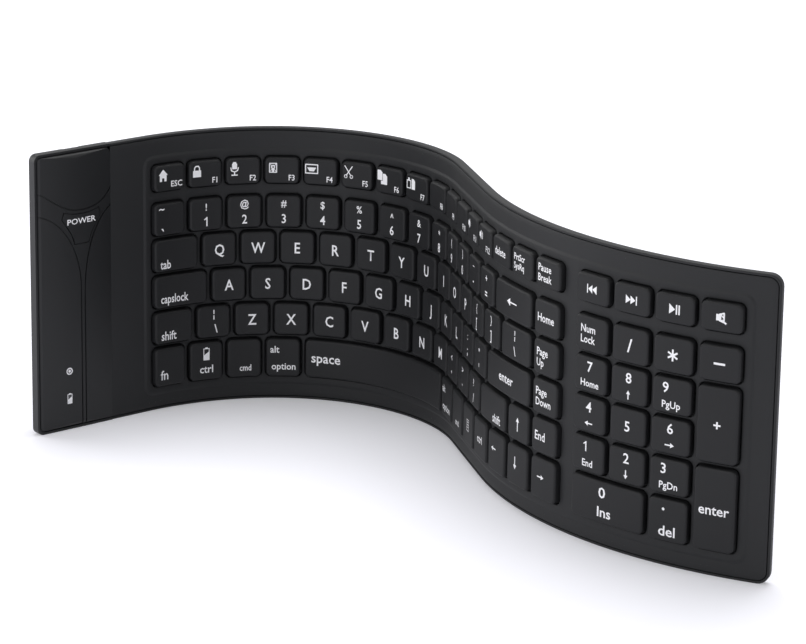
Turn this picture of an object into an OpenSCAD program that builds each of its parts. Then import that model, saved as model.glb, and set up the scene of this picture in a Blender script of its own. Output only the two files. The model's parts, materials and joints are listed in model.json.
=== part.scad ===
// Flexible silicone keyboard with an electronics pod at its left end. It stands on its long lower
// edge, bent into a wave. Every place on it is given by s, the distance along the sheet from its
// left end, z, the height above the floor, and n, the distance from the contact film's middle
// towards the keys.

/* [Keys] */
// Distance between key columns, along the sheet
key_pitch = 18; // [17.6:0.1:18.6]
// Distance between the rows of letters
row_pitch = 16; // [15.5:0.1:17]
// Bare stretch between two keys of a row
key_gap = 2.4; // [2:0.1:3]
// Bare stretch between two rows of keys
row_gap = 2; // [1.8:0.1:2.6]
// Height of the keys of the top row
top_key_h = 11.3; // [10:0.1:13]
// Bare stretch between the top row and the number row
top_row_gap = 5.3; // [3:0.1:7]
// Height of the keys of the bottom row
low_key_h = 16.9; // [15:0.1:18]
// Distance between the number pad's columns
pad_pitch = 19; // [18:0.1:20]
// Bare strip between the main keys and the number pad's
pad_gap = 9.4; // [9:0.1:12]
// Corner radius of a key
key_corner = 2.2; // [1.5:0.1:3]
// How far a key stands above the field round it
key_rise = 2.3; // [1.8:0.1:3]
// Width of the shoulder round a key's crown
crown_inset = 0.5; // [0.3:0.1:0.8]
// Height of a key's crown above its shoulder
crown_rise = 0.5; // [0.3:0.1:0.8]
// How far a key goes down
key_travel = 1; // [0.6:0.1:1.2]
// Gap between a key and its aperture
key_play = 0.6; // [0.4:0.1:0.8]
// Gap left under a key that is pressed
stop_gap = 0.3; // [0.3:0.1:0.5]
// Radius of the contact plunger under a key
plunger_r = 2.5; // [2:0.1:3.5]

/* [Sheet] */
// Thickness of the front skin
skin_t = 1.9; // [1.6:0.1:2.4]
// Thickness of the back tray's floor
back_t = 1.4; // [1.2:0.1:2]
// Thickness of the contact film
film_t = 0.4; // [0.3:0.05:0.5]
// Gap between the film and each skin
film_play = 0.1; // [0.05:0.05:0.2]
// How far the key field stands above the border
field_rise = 0.5; // [0.3:0.1:0.8]
// How far the key field reaches past its keys
field_border = 3.3; // [2.5:0.1:5]
// Corner radius of the key field
field_corner = 4; // [3:0.1:5]
// Width of the rim outside the parting line
rim_w = 1; // [0.8:0.1:1.8]
// Width of the parting line
parting = 0.3; // [0.2:0.05:0.5]
// Corner radius of the sheet
sheet_corner = 5; // [4:0.1:7]
// From the pod to the first key
pod_border = 21; // [20:0.5:26]
// From the last key to the right end
right_border = 13.5; // [10:0.5:18]
// From the top row to the upper edge
top_border = 12.7; // [10:0.1:16]
// From the bottom row to the lower edge
low_border = 10.8; // [9:0.1:14]
// Gap between the film's edge and the rim
film_border = 1; // [0.5:0.1:2]

/* [Wave] */
// Direction in which the pod runs, turned from the view's right towards the back
pod_heading = 40; // [30:1:50]
// From the left end to the first bend
bend_start = 57; // [54:1:60]
// Length of the gentle first bend
gentle_run = 40; // [30:1:50]
// Turn of the gentle first bend
gentle_turn = -23; // [-28:1:-16]
// Length of the tight bend
tight_run = 127; // [115:1:140]
// Turn of the tight bend
tight_turn = -93; // [-100:1:-80]
// Straight stretch between the bends
mid_run = 46; // [36:1:56]
// Turn of the last bend, which fills the rest of the sheet
last_turn = 55; // [45:1:62]

/* [Pod] */
// Width of the pod along the sheet
pod_w = 38; // [36:0.5:41]
// Corner radius at the pod's left end
pod_corner = 3; // [2.2:0.1:4]
// Rise of the front cover's crown
cover_crown = 1.2; // [0.6:0.1:1.8]
// Thickness of the front cover at its edge
cover_t = 1.5; // [1.2:0.1:1.6]
// Rounding of the front cover's outer edges
cover_round = 2; // [1:0.1:2.4]
// Width of the lines on the front cover
line_w = 0.6; // [0.3:0.1:0.8]
// Depth of the lines on the front cover
line_d = 0.5; // [0.2:0.1:0.6]
// Depth of the hump behind the sheet
hump_d = 7.3; // [7:0.1:8.4]
// How far the hump's foot lies inside the pod's outline
hump_inset = 3.5; // [3:0.1:4.5]
// How far the hump's walls lean in
hump_lean = 3; // [2:0.1:4]
// Wall of the hump
hump_wall = 1.6; // [1.2:0.1:2]
// Thickness of the controller board
board_t = 1; // [0.8:0.1:1.2]
// Thickness of the battery
battery_t = 3.6; // [3:0.1:3.8]
// Height of the battery
battery_h = 58; // [40:1:60]
// Travel of the power button
button_travel = 0.6; // [0.3:0.1:0.7]
// Gap round the power button
button_play = 0.3; // [0.3:0.05:0.5]
// Width of the bending strip beside the pod
pod_web_w = 9; // [8:0.5:11]
// Width of the bending strip beside the number pad
pad_web_w = 5; // [4.6:0.1:5.6]
// Gap between a bending strip and the section that it bends to
web_play = 0.3; // [0.3:0.05:0.5]
// Radius of the cover screws' shank
screw_r = 1; // [0.8:0.1:1.2]
// Gap round the cover screws' shank
screw_play = 0.15; // [0.1:0.05:0.3]

/* [Hidden] */
// Keys in their own nodes: name, row, first column and width in columns, rows that it spans.
// Rows count down from the top row, 0. Columns of the number pad count from its own left side.
main_single_keys = [
  ["esc_key", 0, 0, 1, 1],
  ["backspace_key", 1, 13, 1.75, 1],
  ["tab_key", 2, 0, 1.35, 1],
  ["backslash_key", 2, 13.35, 1.4, 1],
  ["caps_lock_key", 3, 0, 1.6, 1],
  ["enter_key", 3, 12.6, 2.15, 1],
  ["left_shift_key", 4, 0, 1.2, 1],
  ["right_shift_key", 4, 12.2, 1.55, 1],
  ["fn_key", 5, 0, 1, 1],
  ["space_key", 5, 4, 4.75, 1]];
pad_single_keys = [
  ["previous_key", 0, 0, 1, 1], ["next_key", 0, 1, 1, 1],
  ["play_key", 0, 2, 1, 1], ["mute_key", 0, 3, 1, 1],
  ["num_lock_key", 1, 0, 1, 1], ["pad_divide_key", 1, 1, 1, 1],
  ["pad_times_key", 1, 2, 1, 1], ["pad_minus_key", 1, 3, 1, 1],
  ["pad_7_key", 2, 0, 1, 1], ["pad_8_key", 2, 1, 1, 1], ["pad_9_key", 2, 2, 1, 1],
  ["pad_4_key", 3, 0, 1, 1], ["pad_5_key", 3, 1, 1, 1], ["pad_6_key", 3, 2, 1, 1],
  ["pad_1_key", 4, 0, 1, 1], ["pad_2_key", 4, 1, 1, 1], ["pad_3_key", 4, 2, 1, 1],
  ["pad_plus_key", 2, 3, 1, 2], ["pad_enter_key", 4, 3, 1, 2],
  ["pad_0_key", 5, 0, 2, 1], ["pad_point_key", 5, 2, 1, 1]];
// Keys that share a node: name, row, then runs of equal keys as first column and count
row_groups = [
  ["function_keys", 0, [[1, 15]]],
  ["number_keys", 1, [[0, 13], [14.75, 1]]],
  ["upper_letter_keys", 2, [[1.35, 12], [14.75, 1]]],
  ["home_letter_keys", 3, [[1.6, 11], [14.75, 1]]],
  ["lower_letter_keys", 4, [[1.2, 11], [13.75, 2]]],
  ["bottom_row_keys", 5, [[1, 3], [8.75, 7]]]];

main_columns = 15.75;  // width of the main block of keys in columns
top_row_keys = 16;     // keys that share that width in the top row
pad_columns = 4;

// Levels across the sheet
film_face = film_t / 2;
skin_foot = film_face + film_play;
skin_face = skin_foot + skin_t;
field_face = skin_face + field_rise;
key_face = field_face + key_rise;
shoulder_face = key_face - crown_rise;
plunger_foot = film_face + stop_gap + key_travel;
key_foot = plunger_foot + 0.4;
back_seat = -film_face - film_play;
back_face = back_seat - back_t;
hump_face = back_face - hump_d;

// Heights above the floor
key_h = row_pitch - row_gap;
low_row_z = low_border + low_key_h / 2;
shift_row_z = low_border + low_key_h + row_gap + key_h / 2;
number_row_z = shift_row_z + 3 * row_pitch;
top_row_z = number_row_z + key_h / 2 + top_row_gap + top_key_h / 2;
sheet_h = top_row_z + top_key_h / 2 + top_border;
function row_z(row) =
  row == 0 ? top_row_z : row == 5 ? low_row_z : shift_row_z + (4 - row) * row_pitch;
function row_h(row) = row == 0 ? top_key_h : row == 5 ? low_key_h : key_h;

// Distances along the sheet
left_border = pod_w + pod_border;
keys_s = left_border - key_gap / 2;
main_keys_end = keys_s + main_columns * key_pitch;
pad_keys_s = main_keys_end - key_gap + pad_gap;
pad_keys_end = pad_keys_s + pad_columns * pad_pitch;
sheet_len = pad_keys_end - key_gap / 2 + right_border;
main_s = pod_w + pod_web_w;
pad_web_s = (main_keys_end + pad_keys_s - pad_web_w) / 2;
pad_s = pad_web_s + pad_web_w;
field_s = left_border - field_border;
field_end = pad_keys_end - key_gap / 2 + field_border;
field_z = low_border - field_border;
field_top = top_row_z + top_key_h / 2 + field_border;
lining = rim_w + parting;

// The wave, as runs of a length and a turn: straight, or part of a circle
runs = [
  [bend_start, 0],
  [gentle_run, gentle_turn],
  [tight_run, tight_turn],
  [mid_run, 0],
  [sheet_len - bend_start - gentle_run - tight_run - mid_run, last_turn]];
run_starts = [for (i = 0, s = 0; i < len(runs); s = s + runs[i][0], i = i + 1) s];
run_headings = [for (i = 0, h = pod_heading; i < len(runs); h = h + runs[i][1], i = i + 1) h];
function run_radius(i) = runs[i][0] / (runs[i][1] * PI / 180);
function along(h) = [cos(h), sin(h)];
function left_of(h) = [-sin(h), cos(h)];
function front_of(h) = [sin(h), -cos(h)];
// The point at a distance d along run i, which starts at a point p
function run_point(i, p, d) =
  let (h = run_headings[i])
  runs[i][1] == 0 ? p + d * along(h)
  : let (r = run_radius(i), turned = h + d / runs[i][0] * runs[i][1])
    p + r * (left_of(h) - left_of(turned));
run_points = [for (i = 0, p = [0, 0]; i < len(runs); p = run_point(i, p, runs[i][0]), i = i + 1) p];
function run_of(s) = max([for (i = [0 : len(runs) - 1]) if (i == 0 || s >= run_starts[i]) i]);
function heading(s) =
  let (i = run_of(s)) run_headings[i] + (s - run_starts[i]) / runs[i][0] * runs[i][1];
function raw_point(s, n) =
  let (i = run_of(s)) run_point(i, run_points[i], s - run_starts[i]) + n * front_of(heading(s));

// The outermost points of the whole object, which set its origin below its middle
outer_points = concat(
  [for (s = [0 : 1 : sheet_len]) raw_point(s, back_face)],
  [for (s = [0 : 1 : sheet_len]) raw_point(s, skin_face)],
  [for (s = [left_border : 1 : pad_keys_end]) raw_point(s, key_face)],
  [for (n = [back_face, skin_face]) raw_point(sheet_len, n)]);
middle = [for (axis = [0, 1])
  (min([for (p = outer_points) p[axis]]) + max([for (p = outer_points) p[axis]])) / 2];
function place(s, n) = raw_point(s, n) - middle;
// How far from station s0, along the sheet's direction there, the point at s and n lies
function offset_along(s0, s, n) =
  round(100 * (place(s, n) - place(s0, 0)) * along(heading(s0))) / 100;

skin_colour = [0.16, 0.16, 0.17];
key_colour = [0.13, 0.13, 0.14];
film_colour = [0.75, 0.8, 0.78];
cover_colour = [0.17, 0.17, 0.18];
board_colour = [0.05, 0.3, 0.15];
metal_colour = [0.75, 0.75, 0.76];
facet_turn = 2.5;  // turn from one face of a bend to the next
smooth = 200;      // facets of a full circle for wide arcs
fine = 32;         // facets of a full circle for corners and small round things

// Moves a drawing to station s: its X along the sheet, its Y up and its Z towards the keys
module at_station(s, z = 0, n = 0) {
  translate([place(s, 0)[0], place(s, 0)[1], 0]) rotate([90, 0, heading(s)]) translate([0, z, n])
    children();
}

// Stations at which the sheet's faces change direction: none within a straight run
run_steps = [for (run = runs) run[1] == 0 ? 1 : ceil(abs(run[1]) / facet_turn)];
facet_stations = [for (i = [0 : len(runs) - 1]) for (j = [0 : run_steps[i] - 1])
  run_starts[i] + runs[i][0] * j / run_steps[i]];
function stations(s0, s1) =
  concat([s0], [for (s = facet_stations) if (s > s0 + 0.2 && s < s1 - 0.2) s], [s1]);

// A stretch of the sheet's section that follows the wave, between two levels and two heights
module band(s0, s1, n0, n1, z0, z1) {
  line = stations(s0, s1);
  translate([0, 0, z0]) linear_extrude(z1 - z0) polygon(concat(
    [for (s = line) place(s, n1)],
    [for (i = [len(line) - 1 : -1 : 0]) place(line[i], n0)]));
}

module rounded_rect(x0, x1, y0, y1, r) {
  translate([x0 + r, y0]) square([x1 - x0 - 2 * r, y1 - y0]);
  translate([x0, y0 + r]) square([x1 - x0, y1 - y0 - 2 * r]);
  for (x = [x0 + r, x1 - r], y = [y0 + r, y1 - r]) translate([x, y]) circle(r, $fn = fine);
}

// What is cut off a corner to round it: the corner lies at the origin, its body towards sx and sy
module corner_cut(s, z, r, sx, sy, n0, n1) {
  at_station(s, z, n0) linear_extrude(n1 - n0) facing(sx, sy) difference() {
    translate([-1, -1]) square(r + 1);
    translate([r, r]) circle(r, $fn = 2 * fine);
  }
}

module facing(sx, sy) {
  mirror([sx < 0 ? 1 : 0, 0]) mirror([0, sy < 0 ? 1 : 0]) children();
}

// Places of a key: its two ends along the sheet and its lower and upper edge
function main_column_s(row, column) =
  keys_s + key_pitch * (row == 0 ? column * (main_columns - 1) / (top_row_keys - 1) : column);
function key_ends(s0, s1) = [s0 + key_gap / 2, s1 - key_gap / 2];
function key_heights(row, rows) = [
  row_z(row + rows - 1) - row_h(row + rows - 1) / 2, row_z(row) + row_h(row) / 2];
function main_key(row, column, columns, rows) = concat(
  key_ends(main_column_s(row, column), main_column_s(row, column) + columns * key_pitch),
  key_heights(row, rows));
function pad_key(row, column, columns, rows) = concat(
  key_ends(pad_keys_s + column * pad_pitch, pad_keys_s + (column + columns) * pad_pitch),
  key_heights(row, rows));
main_single_boxes = [for (k = main_single_keys) main_key(k[1], k[2], k[3], k[4])];
pad_boxes = [for (k = pad_single_keys) pad_key(k[1], k[2], k[3], k[4])];
function group_boxes(group) =
  [for (run = group[2]) for (i = [0 : run[1] - 1]) main_key(group[1], run[0] + i, 1, 1)];

// A key's outline, straight through the sheet at the key's middle, grown by a margin
module key_prism(box, grow, n0, n1) {
  s = (box[0] + box[1]) / 2;
  left = offset_along(s, box[0], field_face);
  right = offset_along(s, box[1], field_face);
  at_station(s, 0, n0) linear_extrude(n1 - n0)
    rounded_rect(left - grow, right + grow, box[2] - grow, box[3] + grow, key_corner + grow);
}

// How far a key's ends leave the plane at its middle, with room to spare
function key_reach(box) = pow(box[1] - box[0], 2) / 450 + key_face + 1;

module key(box) {
  reach = key_reach(box);
  s = (box[0] + box[1]) / 2;
  intersection() {
    band(box[0] - 2, box[1] + 2, key_foot, shoulder_face, box[2] - 2, box[3] + 2);
    key_prism(box, 0, -reach, reach);
  }
  intersection() {
    band(box[0] - 2, box[1] + 2, key_foot, key_face, box[2] - 2, box[3] + 2);
    key_prism(box, -crown_inset, -reach, reach);
  }
  at_station(s, (box[2] + box[3]) / 2, plunger_foot)
    cylinder(h = key_foot + 0.3 - plunger_foot, r = plunger_r, $fn = fine);
}

module single_key(box) { color(key_colour) key(box); }

module key_group(group) { color(key_colour) for (box = group_boxes(group)) key(box); }

module apertures(boxes) { for (box = boxes) key_prism(box, key_play, -key_reach(box), key_reach(box)); }

// Front skins
module skin(s0, s1) {
  band(s0, s1, skin_foot, skin_face, lining, sheet_h - lining);
  band(max(s0, field_s), min(s1, field_end), skin_face - 1, field_face, field_z, field_top);
}

module main_skin() {
  color(skin_colour) difference() {
    skin(main_s, pad_web_s);
    for (up = [0, 1])
      corner_cut(field_s, up == 0 ? field_z : field_top, field_corner, 1, up == 0 ? 1 : -1,
        skin_face, field_face + 1);
    apertures(concat(main_single_boxes, [for (group = row_groups) each group_boxes(group)]));
  }
}

module pad_skin() {
  color(skin_colour) difference() {
    skin(pad_s, sheet_len - lining);
    for (up = [0, 1]) {
      corner_cut(field_end, up == 0 ? field_z : field_top, field_corner, -1, up == 0 ? 1 : -1,
        skin_face, field_face + 1);
      corner_cut(sheet_len - lining, up == 0 ? lining : sheet_h - lining, sheet_corner - lining, -1,
        up == 0 ? 1 : -1, skin_foot - 1, skin_face + 1);
    }
    apertures(pad_boxes);
  }
}

// Back trays: a floor under the film and a rim round the front skin
module back(s0, s1, s2) {
  difference() {
    band(s0, s2, back_face, skin_face, 0, sheet_h);
    difference() {
      band(s0 - 1, s1, back_seat, skin_face + 1, rim_w, sheet_h - rim_w);
      if (s1 < s2) for (up = [0, 1])
        corner_cut(s1, up == 0 ? rim_w : sheet_h - rim_w, sheet_corner - rim_w, -1,
          up == 0 ? 1 : -1, back_seat - 1, skin_face + 2);
    }
    if (s1 < s2) for (up = [0, 1])
      corner_cut(s2, up == 0 ? 0 : sheet_h, sheet_corner, -1, up == 0 ? 1 : -1,
        back_face - 2, skin_face + 2);
  }
}

module main_back() { color(skin_colour) back(main_s, pad_web_s + 1, pad_web_s); }

module pad_back() { color(skin_colour) back(pad_s, sheet_len - rim_w, sheet_len); }

// Contact films
film_low = rim_w + film_border;
film_top = sheet_h - film_low;
film_end = sheet_len - rim_w - film_border - sheet_corner / 3;
tail_z = sheet_h / 2;
tail_w = 24;

module main_film() {
  color(film_colour)
    band(main_s + film_border, pad_web_s - film_border, -film_face, film_face, film_low, film_top);
}

module pad_film() {
  color(film_colour) band(pad_s + film_border, film_end, -film_face, film_face, film_low, film_top);
}

module tail(s0, s1, grow) {
  band(s0, s1, -film_face - grow, film_face + grow, tail_z - tail_w / 2 - grow,
    tail_z + tail_w / 2 + grow);
}

module pod_tail() { color(film_colour) tail(connector_mouth - 2.5, main_s + film_border, 0); }

module pad_tail() {
  color(film_colour) tail(pad_web_s - film_border, pad_s + film_border, 0);
}

// Bending strips, with the parting lines carried on across them
module parting_lines(s0, s1) {
  for (z = [rim_w, sheet_h - lining]) band(s0, s1, skin_face - 1, skin_face + 1, z, z + parting);
}

module pod_web() {
  color(skin_colour) difference() {
    band(pod_w + web_play, main_s, back_face, skin_face, 0, sheet_h);
    tail(pod_w - 1, main_s + 1, film_play);
    parting_lines(pod_w - 1, main_s + 1);
  }
}

module pad_web() {
  color(skin_colour) difference() {
    union() {
      band(pad_web_s, pad_s - web_play, back_face, skin_face, 0, sheet_h);
      band(pad_web_s, pad_s - web_play, skin_face - 1, field_face, field_z, field_top);
    }
    tail(pad_web_s - 1, pad_s + 1, film_play);
    parting_lines(pad_web_s - 1, pad_s + 1);
  }
}

// Pod. Its own drawings have X along the sheet from the left end, Y up and Z towards the front.
cover_foot = skin_face - cover_t;
cover_face = skin_face + cover_crown;
cover_left = lining;
cover_mid = (cover_left + pod_w) / 2;
cover_half = (pod_w - cover_left) / 2;
crown_r = (pow(cover_half, 2) + pow(cover_crown, 2)) / (2 * cover_crown);
hump_right = pod_w - hump_inset + 1;
hump_low = hump_inset + 1.5;
cavity_left = hump_inset + hump_lean + hump_wall;
cavity_right = hump_right - 1 - hump_wall;
cavity_low = hump_low + hump_lean + hump_wall;
cavity_top = sheet_h - cavity_low;
cavity_floor = hump_face + hump_wall;
cavity_mid = (cavity_left + cavity_right) / 2;
board_face = cover_foot - 1.3;
board_back = board_face - board_t;
board_low = cavity_low + 8;
board_high = cavity_top - 3.5;
strip_s = 0.603 * pod_w;   // middle of the narrow strip that runs down the front cover
button_s = strip_s - 0.4;
window_s = 0.408 * pod_w;
link_window_z = 26;
charge_window_z = 14;
link_window_r = 1.7;
charge_window = [2.8, 4.6];
window_play = 0.05;
screw_places = [for (x = [cavity_left + 2.6, cavity_right - 2.6],
  y = [cavity_low + 2.8, cavity_top - 2.8]) [x, y]];
socket_w = 9;
socket_h = 3.2;
socket_wall = 0.3;
connector_mouth = cavity_right - 1;

module rounded_left(x0, x1, y0, y1, r) {
  translate([x0 + r, y0]) square([x1 - x0 - r, y1 - y0]);
  translate([x0, y0 + r]) square([x1 - x0, y1 - y0 - 2 * r]);
  for (y = [y0 + r, y1 - r]) translate([x0 + r, y]) circle(r, $fn = 2 * fine);
}

module raised(n0, n1) { at_station(0, 0, n0) linear_extrude(n1 - n0) children(); }

// How far the front cover's crown stands out at s
function crown_n(s) = cover_face - crown_r + sqrt(pow(crown_r, 2) - pow(s - cover_mid, 2));

// What is cut off the front cover to round an edge that lies at x and has its crest at y
module edge_cut(x, y, side) {
  difference() {
    translate([side > 0 ? x - 5 : x - cover_round, y - cover_round])
      square([5 + cover_round, cover_round + 5]);
    translate([x + side * cover_round, y - cover_round]) circle(cover_round, $fn = 4 * fine);
  }
}

// The space under the front cover's crown: one outline seen from above and one from the side
module under_crown(extra = 0) {
  deep = cover_foot - 5;
  at_station(0) translate([0, sheet_h + 2, extra]) rotate([90, 0, 0]) linear_extrude(sheet_h + 4)
    difference() {
      intersection() {
        translate([cover_mid, cover_face - crown_r]) circle(crown_r, $fn = 2 * smooth);
        translate([-5, deep]) square([pod_w + 10, 30]);
      }
      edge_cut(cover_left, crown_n(cover_left + cover_round), 1);
    }
}

module under_ends(extra = 0) {
  at_station(0) translate([-5, 0, extra]) rotate([90, 0, 90]) linear_extrude(pod_w + 10)
    difference() {
      translate([-1, cover_foot - 5]) square([sheet_h + 2, 30]);
      edge_cut(lining, cover_face, 1);
      edge_cut(sheet_h - lining, cover_face, -1);
    }
}

module crowned(extra = 0) {
  intersection() {
    under_crown(extra);
    under_ends(extra);
  }
}

// A point on a smooth curve that leaves a towards b and reaches d from c
function curve_point(a, b, c, d, t) =
  pow(1 - t, 3) * a + 3 * t * pow(1 - t, 2) * b + 3 * t * t * (1 - t) * c + t * t * t * d;
line_steps = 14;
// The line left of the narrow strip and the line right of it, from the cover's side to the foot
strip_half = 0.95;
left_line = concat(
  [for (i = [0 : line_steps]) curve_point([-1, 0.785 * sheet_h], [0.263 * pod_w, 0.785 * sheet_h],
    [strip_s - strip_half, 0.66 * sheet_h], [strip_s - strip_half, 0.51 * sheet_h], i / line_steps)],
  [[strip_s - strip_half, -1]]);
right_line = concat(
  [for (i = [0 : line_steps]) curve_point([pod_w + 1, 0.789 * sheet_h], [0.79 * pod_w, 0.752 * sheet_h],
    [strip_s + strip_half, 0.645 * sheet_h], [strip_s + strip_half, 0.48 * sheet_h], i / line_steps)],
  [[strip_s + strip_half, -1]]);
// The bowed line that sets off the cover's top, above the power button
badge_low = [0.58 * pod_w, 0.787 * sheet_h];
badge_line = concat(
  [for (i = [0 : line_steps]) curve_point([-1, 0.876 * sheet_h], [0.21 * pod_w, 0.839 * sheet_h],
    [0.34 * pod_w, badge_low[1]], badge_low, i / line_steps)],
  [for (i = [1 : line_steps]) curve_point(badge_low, [0.82 * pod_w, badge_low[1]],
    [0.92 * pod_w, 0.81 * sheet_h], [pod_w + 1, 0.86 * sheet_h], i / line_steps)]);
// A strip of one width along a line of points
module ribbon(points, w) {
  last = len(points) - 1;
  sides = [for (i = [0 : last]) let (
    d = points[min(i + 1, last)] - points[max(i - 1, 0)], m = norm(d))
    [-d[1], d[0]] / m * w / 2];
  polygon(concat([for (i = [0 : last]) points[i] + sides[i]],
    [for (i = [last : -1 : 0]) points[i] - sides[i]]));
}

module button_2d(grow) {
  top_half = 8.7 + grow;
  shoulder_half = 9.75 + grow;
  foot_half = 3.5 + grow;
  foot_z = 0.668 * sheet_h - grow;
  shoulder_z = 0.761 * sheet_h;
  head_z = 0.784 * sheet_h + grow;
  translate([button_s, 0]) polygon(concat(
    [[-foot_half, foot_z], [foot_half, foot_z]],
    [for (i = [1 : 6]) curve_point([foot_half, foot_z], [foot_half + 1, foot_z + 5],
      [shoulder_half - 2.5, shoulder_z - 4], [shoulder_half, shoulder_z], i / 6)],
    [for (i = [0 : 8]) curve_point([top_half, head_z], [top_half / 2, head_z - 2],
      [-top_half / 2, head_z - 2], [-top_half, head_z], i / 8)],
    [for (i = [0 : 5]) curve_point([-shoulder_half, shoulder_z], [-shoulder_half + 2.5, shoulder_z - 4],
      [-foot_half - 1, foot_z + 5], [-foot_half, foot_z], i / 6)]));
}

module windows_2d(grow) {
  translate([window_s, link_window_z]) circle(link_window_r + grow, $fn = fine);
  translate([window_s, charge_window_z]) rounded_rect(
    -charge_window[0] / 2 - grow, charge_window[0] / 2 + grow,
    -charge_window[1] / 2 - grow, charge_window[1] / 2 + grow, 0.6);
}

module pod_front_cover() {
  color(cover_colour) difference() {
    union() {
      intersection() {
        raised(cover_foot, cover_face + 1) difference() {
          rounded_left(cover_left, pod_w, lining, sheet_h - lining, pod_corner - lining / 2);
          translate([pod_w, sheet_h - lining]) mirror([1, 0]) mirror([0, 1]) difference() {
            translate([-1, -1]) square(4);
            translate([3, 3]) circle(3, $fn = 2 * fine);
          }
        }
        crowned();
      }
      for (p = screw_places) at_station(0) translate([p[0], p[1], board_back])
        cylinder(h = cover_foot + 0.5 - board_back, r = 2.1, $fn = fine);
    }
    for (p = screw_places) at_station(0) translate([p[0], p[1], board_back - 1])
      cylinder(h = cover_foot - board_back + 1, r = screw_r + 0.05, $fn = fine);
    raised(cover_foot - 1, cover_face + 1) button_2d(button_play);
    raised(cover_foot - 1, cover_face + 1) windows_2d(window_play);
    difference() {
      raised(cover_foot + 0.4, cover_face + 1) {
        ribbon(left_line, line_w);
        ribbon(right_line, line_w);
        ribbon(badge_line, line_w);
      }
      crowned(-line_d);
    }
  }
}

// The hump: one outline seen from above and one seen from the side
module hump_body() {
  top_low = hump_low + hump_lean;
  intersection() {
    at_station(0) rotate([-90, 0, 0]) linear_extrude(sheet_h) polygon([
      [hump_inset, -back_face - 0.1], [hump_right, -back_face - 0.1],
      [hump_right - 1, -hump_face], [hump_inset + hump_lean, -hump_face]]);
    at_station(0) rotate([0, -90, 0]) mirror([0, 0, 1]) linear_extrude(pod_w) polygon([
      [back_face + 0.1, hump_low], [back_face + 0.1, sheet_h - hump_low],
      [hump_face, sheet_h - top_low], [hump_face, top_low]]);
  }
}

socket_n = board_back - socket_h / 2 - 0.05;
module pod_back_cover() {
  color(cover_colour) difference() {
    union() {
      raised(back_face, skin_face) rounded_left(0, pod_w, 0, sheet_h, pod_corner);
      hump_body();
    }
    raised(cover_foot - 0.1, skin_face + 1)
      rounded_left(rim_w, pod_w + 1, rim_w, sheet_h - rim_w, pod_corner - rim_w / 2);
    difference() {
      raised(cavity_floor, cover_foot + 1)
        rounded_rect(cavity_left, cavity_right, cavity_low, cavity_top, 1);
      for (p = screw_places) at_station(0) translate([p[0], p[1], cavity_floor - 1])
        cylinder(h = board_back - 0.1 - cavity_floor + 1, r = 2.1, $fn = fine);
    }
    for (p = screw_places) at_station(0) translate([p[0], p[1], hump_face - 1]) {
      cylinder(h = -hump_face + board_face, r = screw_r + screw_play, $fn = fine);
      cylinder(h = 1.9, r = screw_r * 2 + 0.1, $fn = fine);
    }
    band(cavity_right - 1, pod_w + 1, -film_face - 0.3, cover_foot, tail_z - tail_w / 2 - 0.3,
      tail_z + tail_w / 2 + 0.3);
    at_station(cavity_mid, cavity_top - 1, socket_n) rotate([-90, 0, 0]) linear_extrude(12)
      rounded_rect(-socket_w / 2 - 0.4, socket_w / 2 + 0.4, -socket_h / 2 - 0.4, socket_h / 2 + 0.4, 1.6);
  }
}

module power_button() {
  color(cover_colour) {
    intersection() {
      raised(cover_foot + 0.6, cover_face + 1) button_2d(0);
      under_crown(0.15);
    }
    at_station(button_s, 0.74 * sheet_h, button_foot)
      cylinder(h = cover_foot + 1 - button_foot, r = 1.8, $fn = fine);
  }
}

switch_top = board_face + 0.9;
button_foot = switch_top + 0.3 + button_travel;
module power_switch() {
  color(metal_colour) at_station(button_s, 0.74 * sheet_h) {
    translate([-3, -3, board_face]) cube([6, 6, 0.6]);
    translate([0, 0, board_face]) cylinder(h = 0.9, r = 1.7, $fn = fine);
  }
}

module controller_board() {
  color(board_colour) raised(board_back, board_face) difference() {
    translate([cavity_left + 0.4, board_low])
      square([cavity_right - cavity_left - 0.8, board_high - board_low]);
    for (p = screw_places) translate(p) circle(2.5, $fn = fine);
  }
}

module board_chips() {
  color([0.1, 0.1, 0.1]) at_station(0) {
    translate([cavity_left + 3, tail_z - 3.5, board_face]) cube([7, 7, 0.9]);
    translate([cavity_left + 3, tail_z + 9, board_face]) cube([5, 4, 0.9]);
    translate([cavity_left + 3, tail_z - 12, board_face]) cube([3.2, 2.5, 0.8]);
    for (i = [0 : 4]) translate([cavity_left + 12, tail_z - 10 + 3 * i, board_face]) cube([1.6, 0.8, 0.5]);
  }
}

module radio_module() {
  color(metal_colour) at_station(0)
    translate([cavity_left + 4, board_high - 14, board_face]) cube([11, 9, 0.9]);
}

module indicator_lamps() {
  color([0.95, 0.95, 0.85]) for (z = [link_window_z, charge_window_z + 3.4])
    at_station(window_s, z, board_face) translate([-0.8, -0.4, 0]) cube([1.6, 0.8, 0.5]);
}

module indicator_windows() {
  color([0.92, 0.92, 0.95]) intersection() {
    raised(cover_foot - 0.5, cover_face + 1) windows_2d(0);
    under_crown(0.05);
  }
}

module tail_connector() {
  color([0.9, 0.88, 0.8]) difference() {
    at_station(0) translate([connector_mouth - 4.5, tail_z - tail_w / 2 - 2, board_face])
      cube([4.5, tail_w + 4, cover_foot - 0.2 - board_face]);
    tail(connector_mouth - 3, connector_mouth + 1, 0.1);
  }
}

module charge_socket() {
  depth = 8;
  mouth = cavity_top + 2.5;
  color(metal_colour) at_station(cavity_mid, mouth - depth, socket_n) rotate([-90, 0, 0])
    difference() {
      linear_extrude(depth)
        rounded_rect(-socket_w / 2, socket_w / 2, -socket_h / 2, socket_h / 2, 1.4);
      translate([0, 0, 1]) linear_extrude(depth) rounded_rect(-socket_w / 2 + socket_wall,
        socket_w / 2 - socket_wall, -socket_h / 2 + socket_wall, socket_h / 2 - socket_wall,
        1.4 - socket_wall);
    }
}

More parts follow.
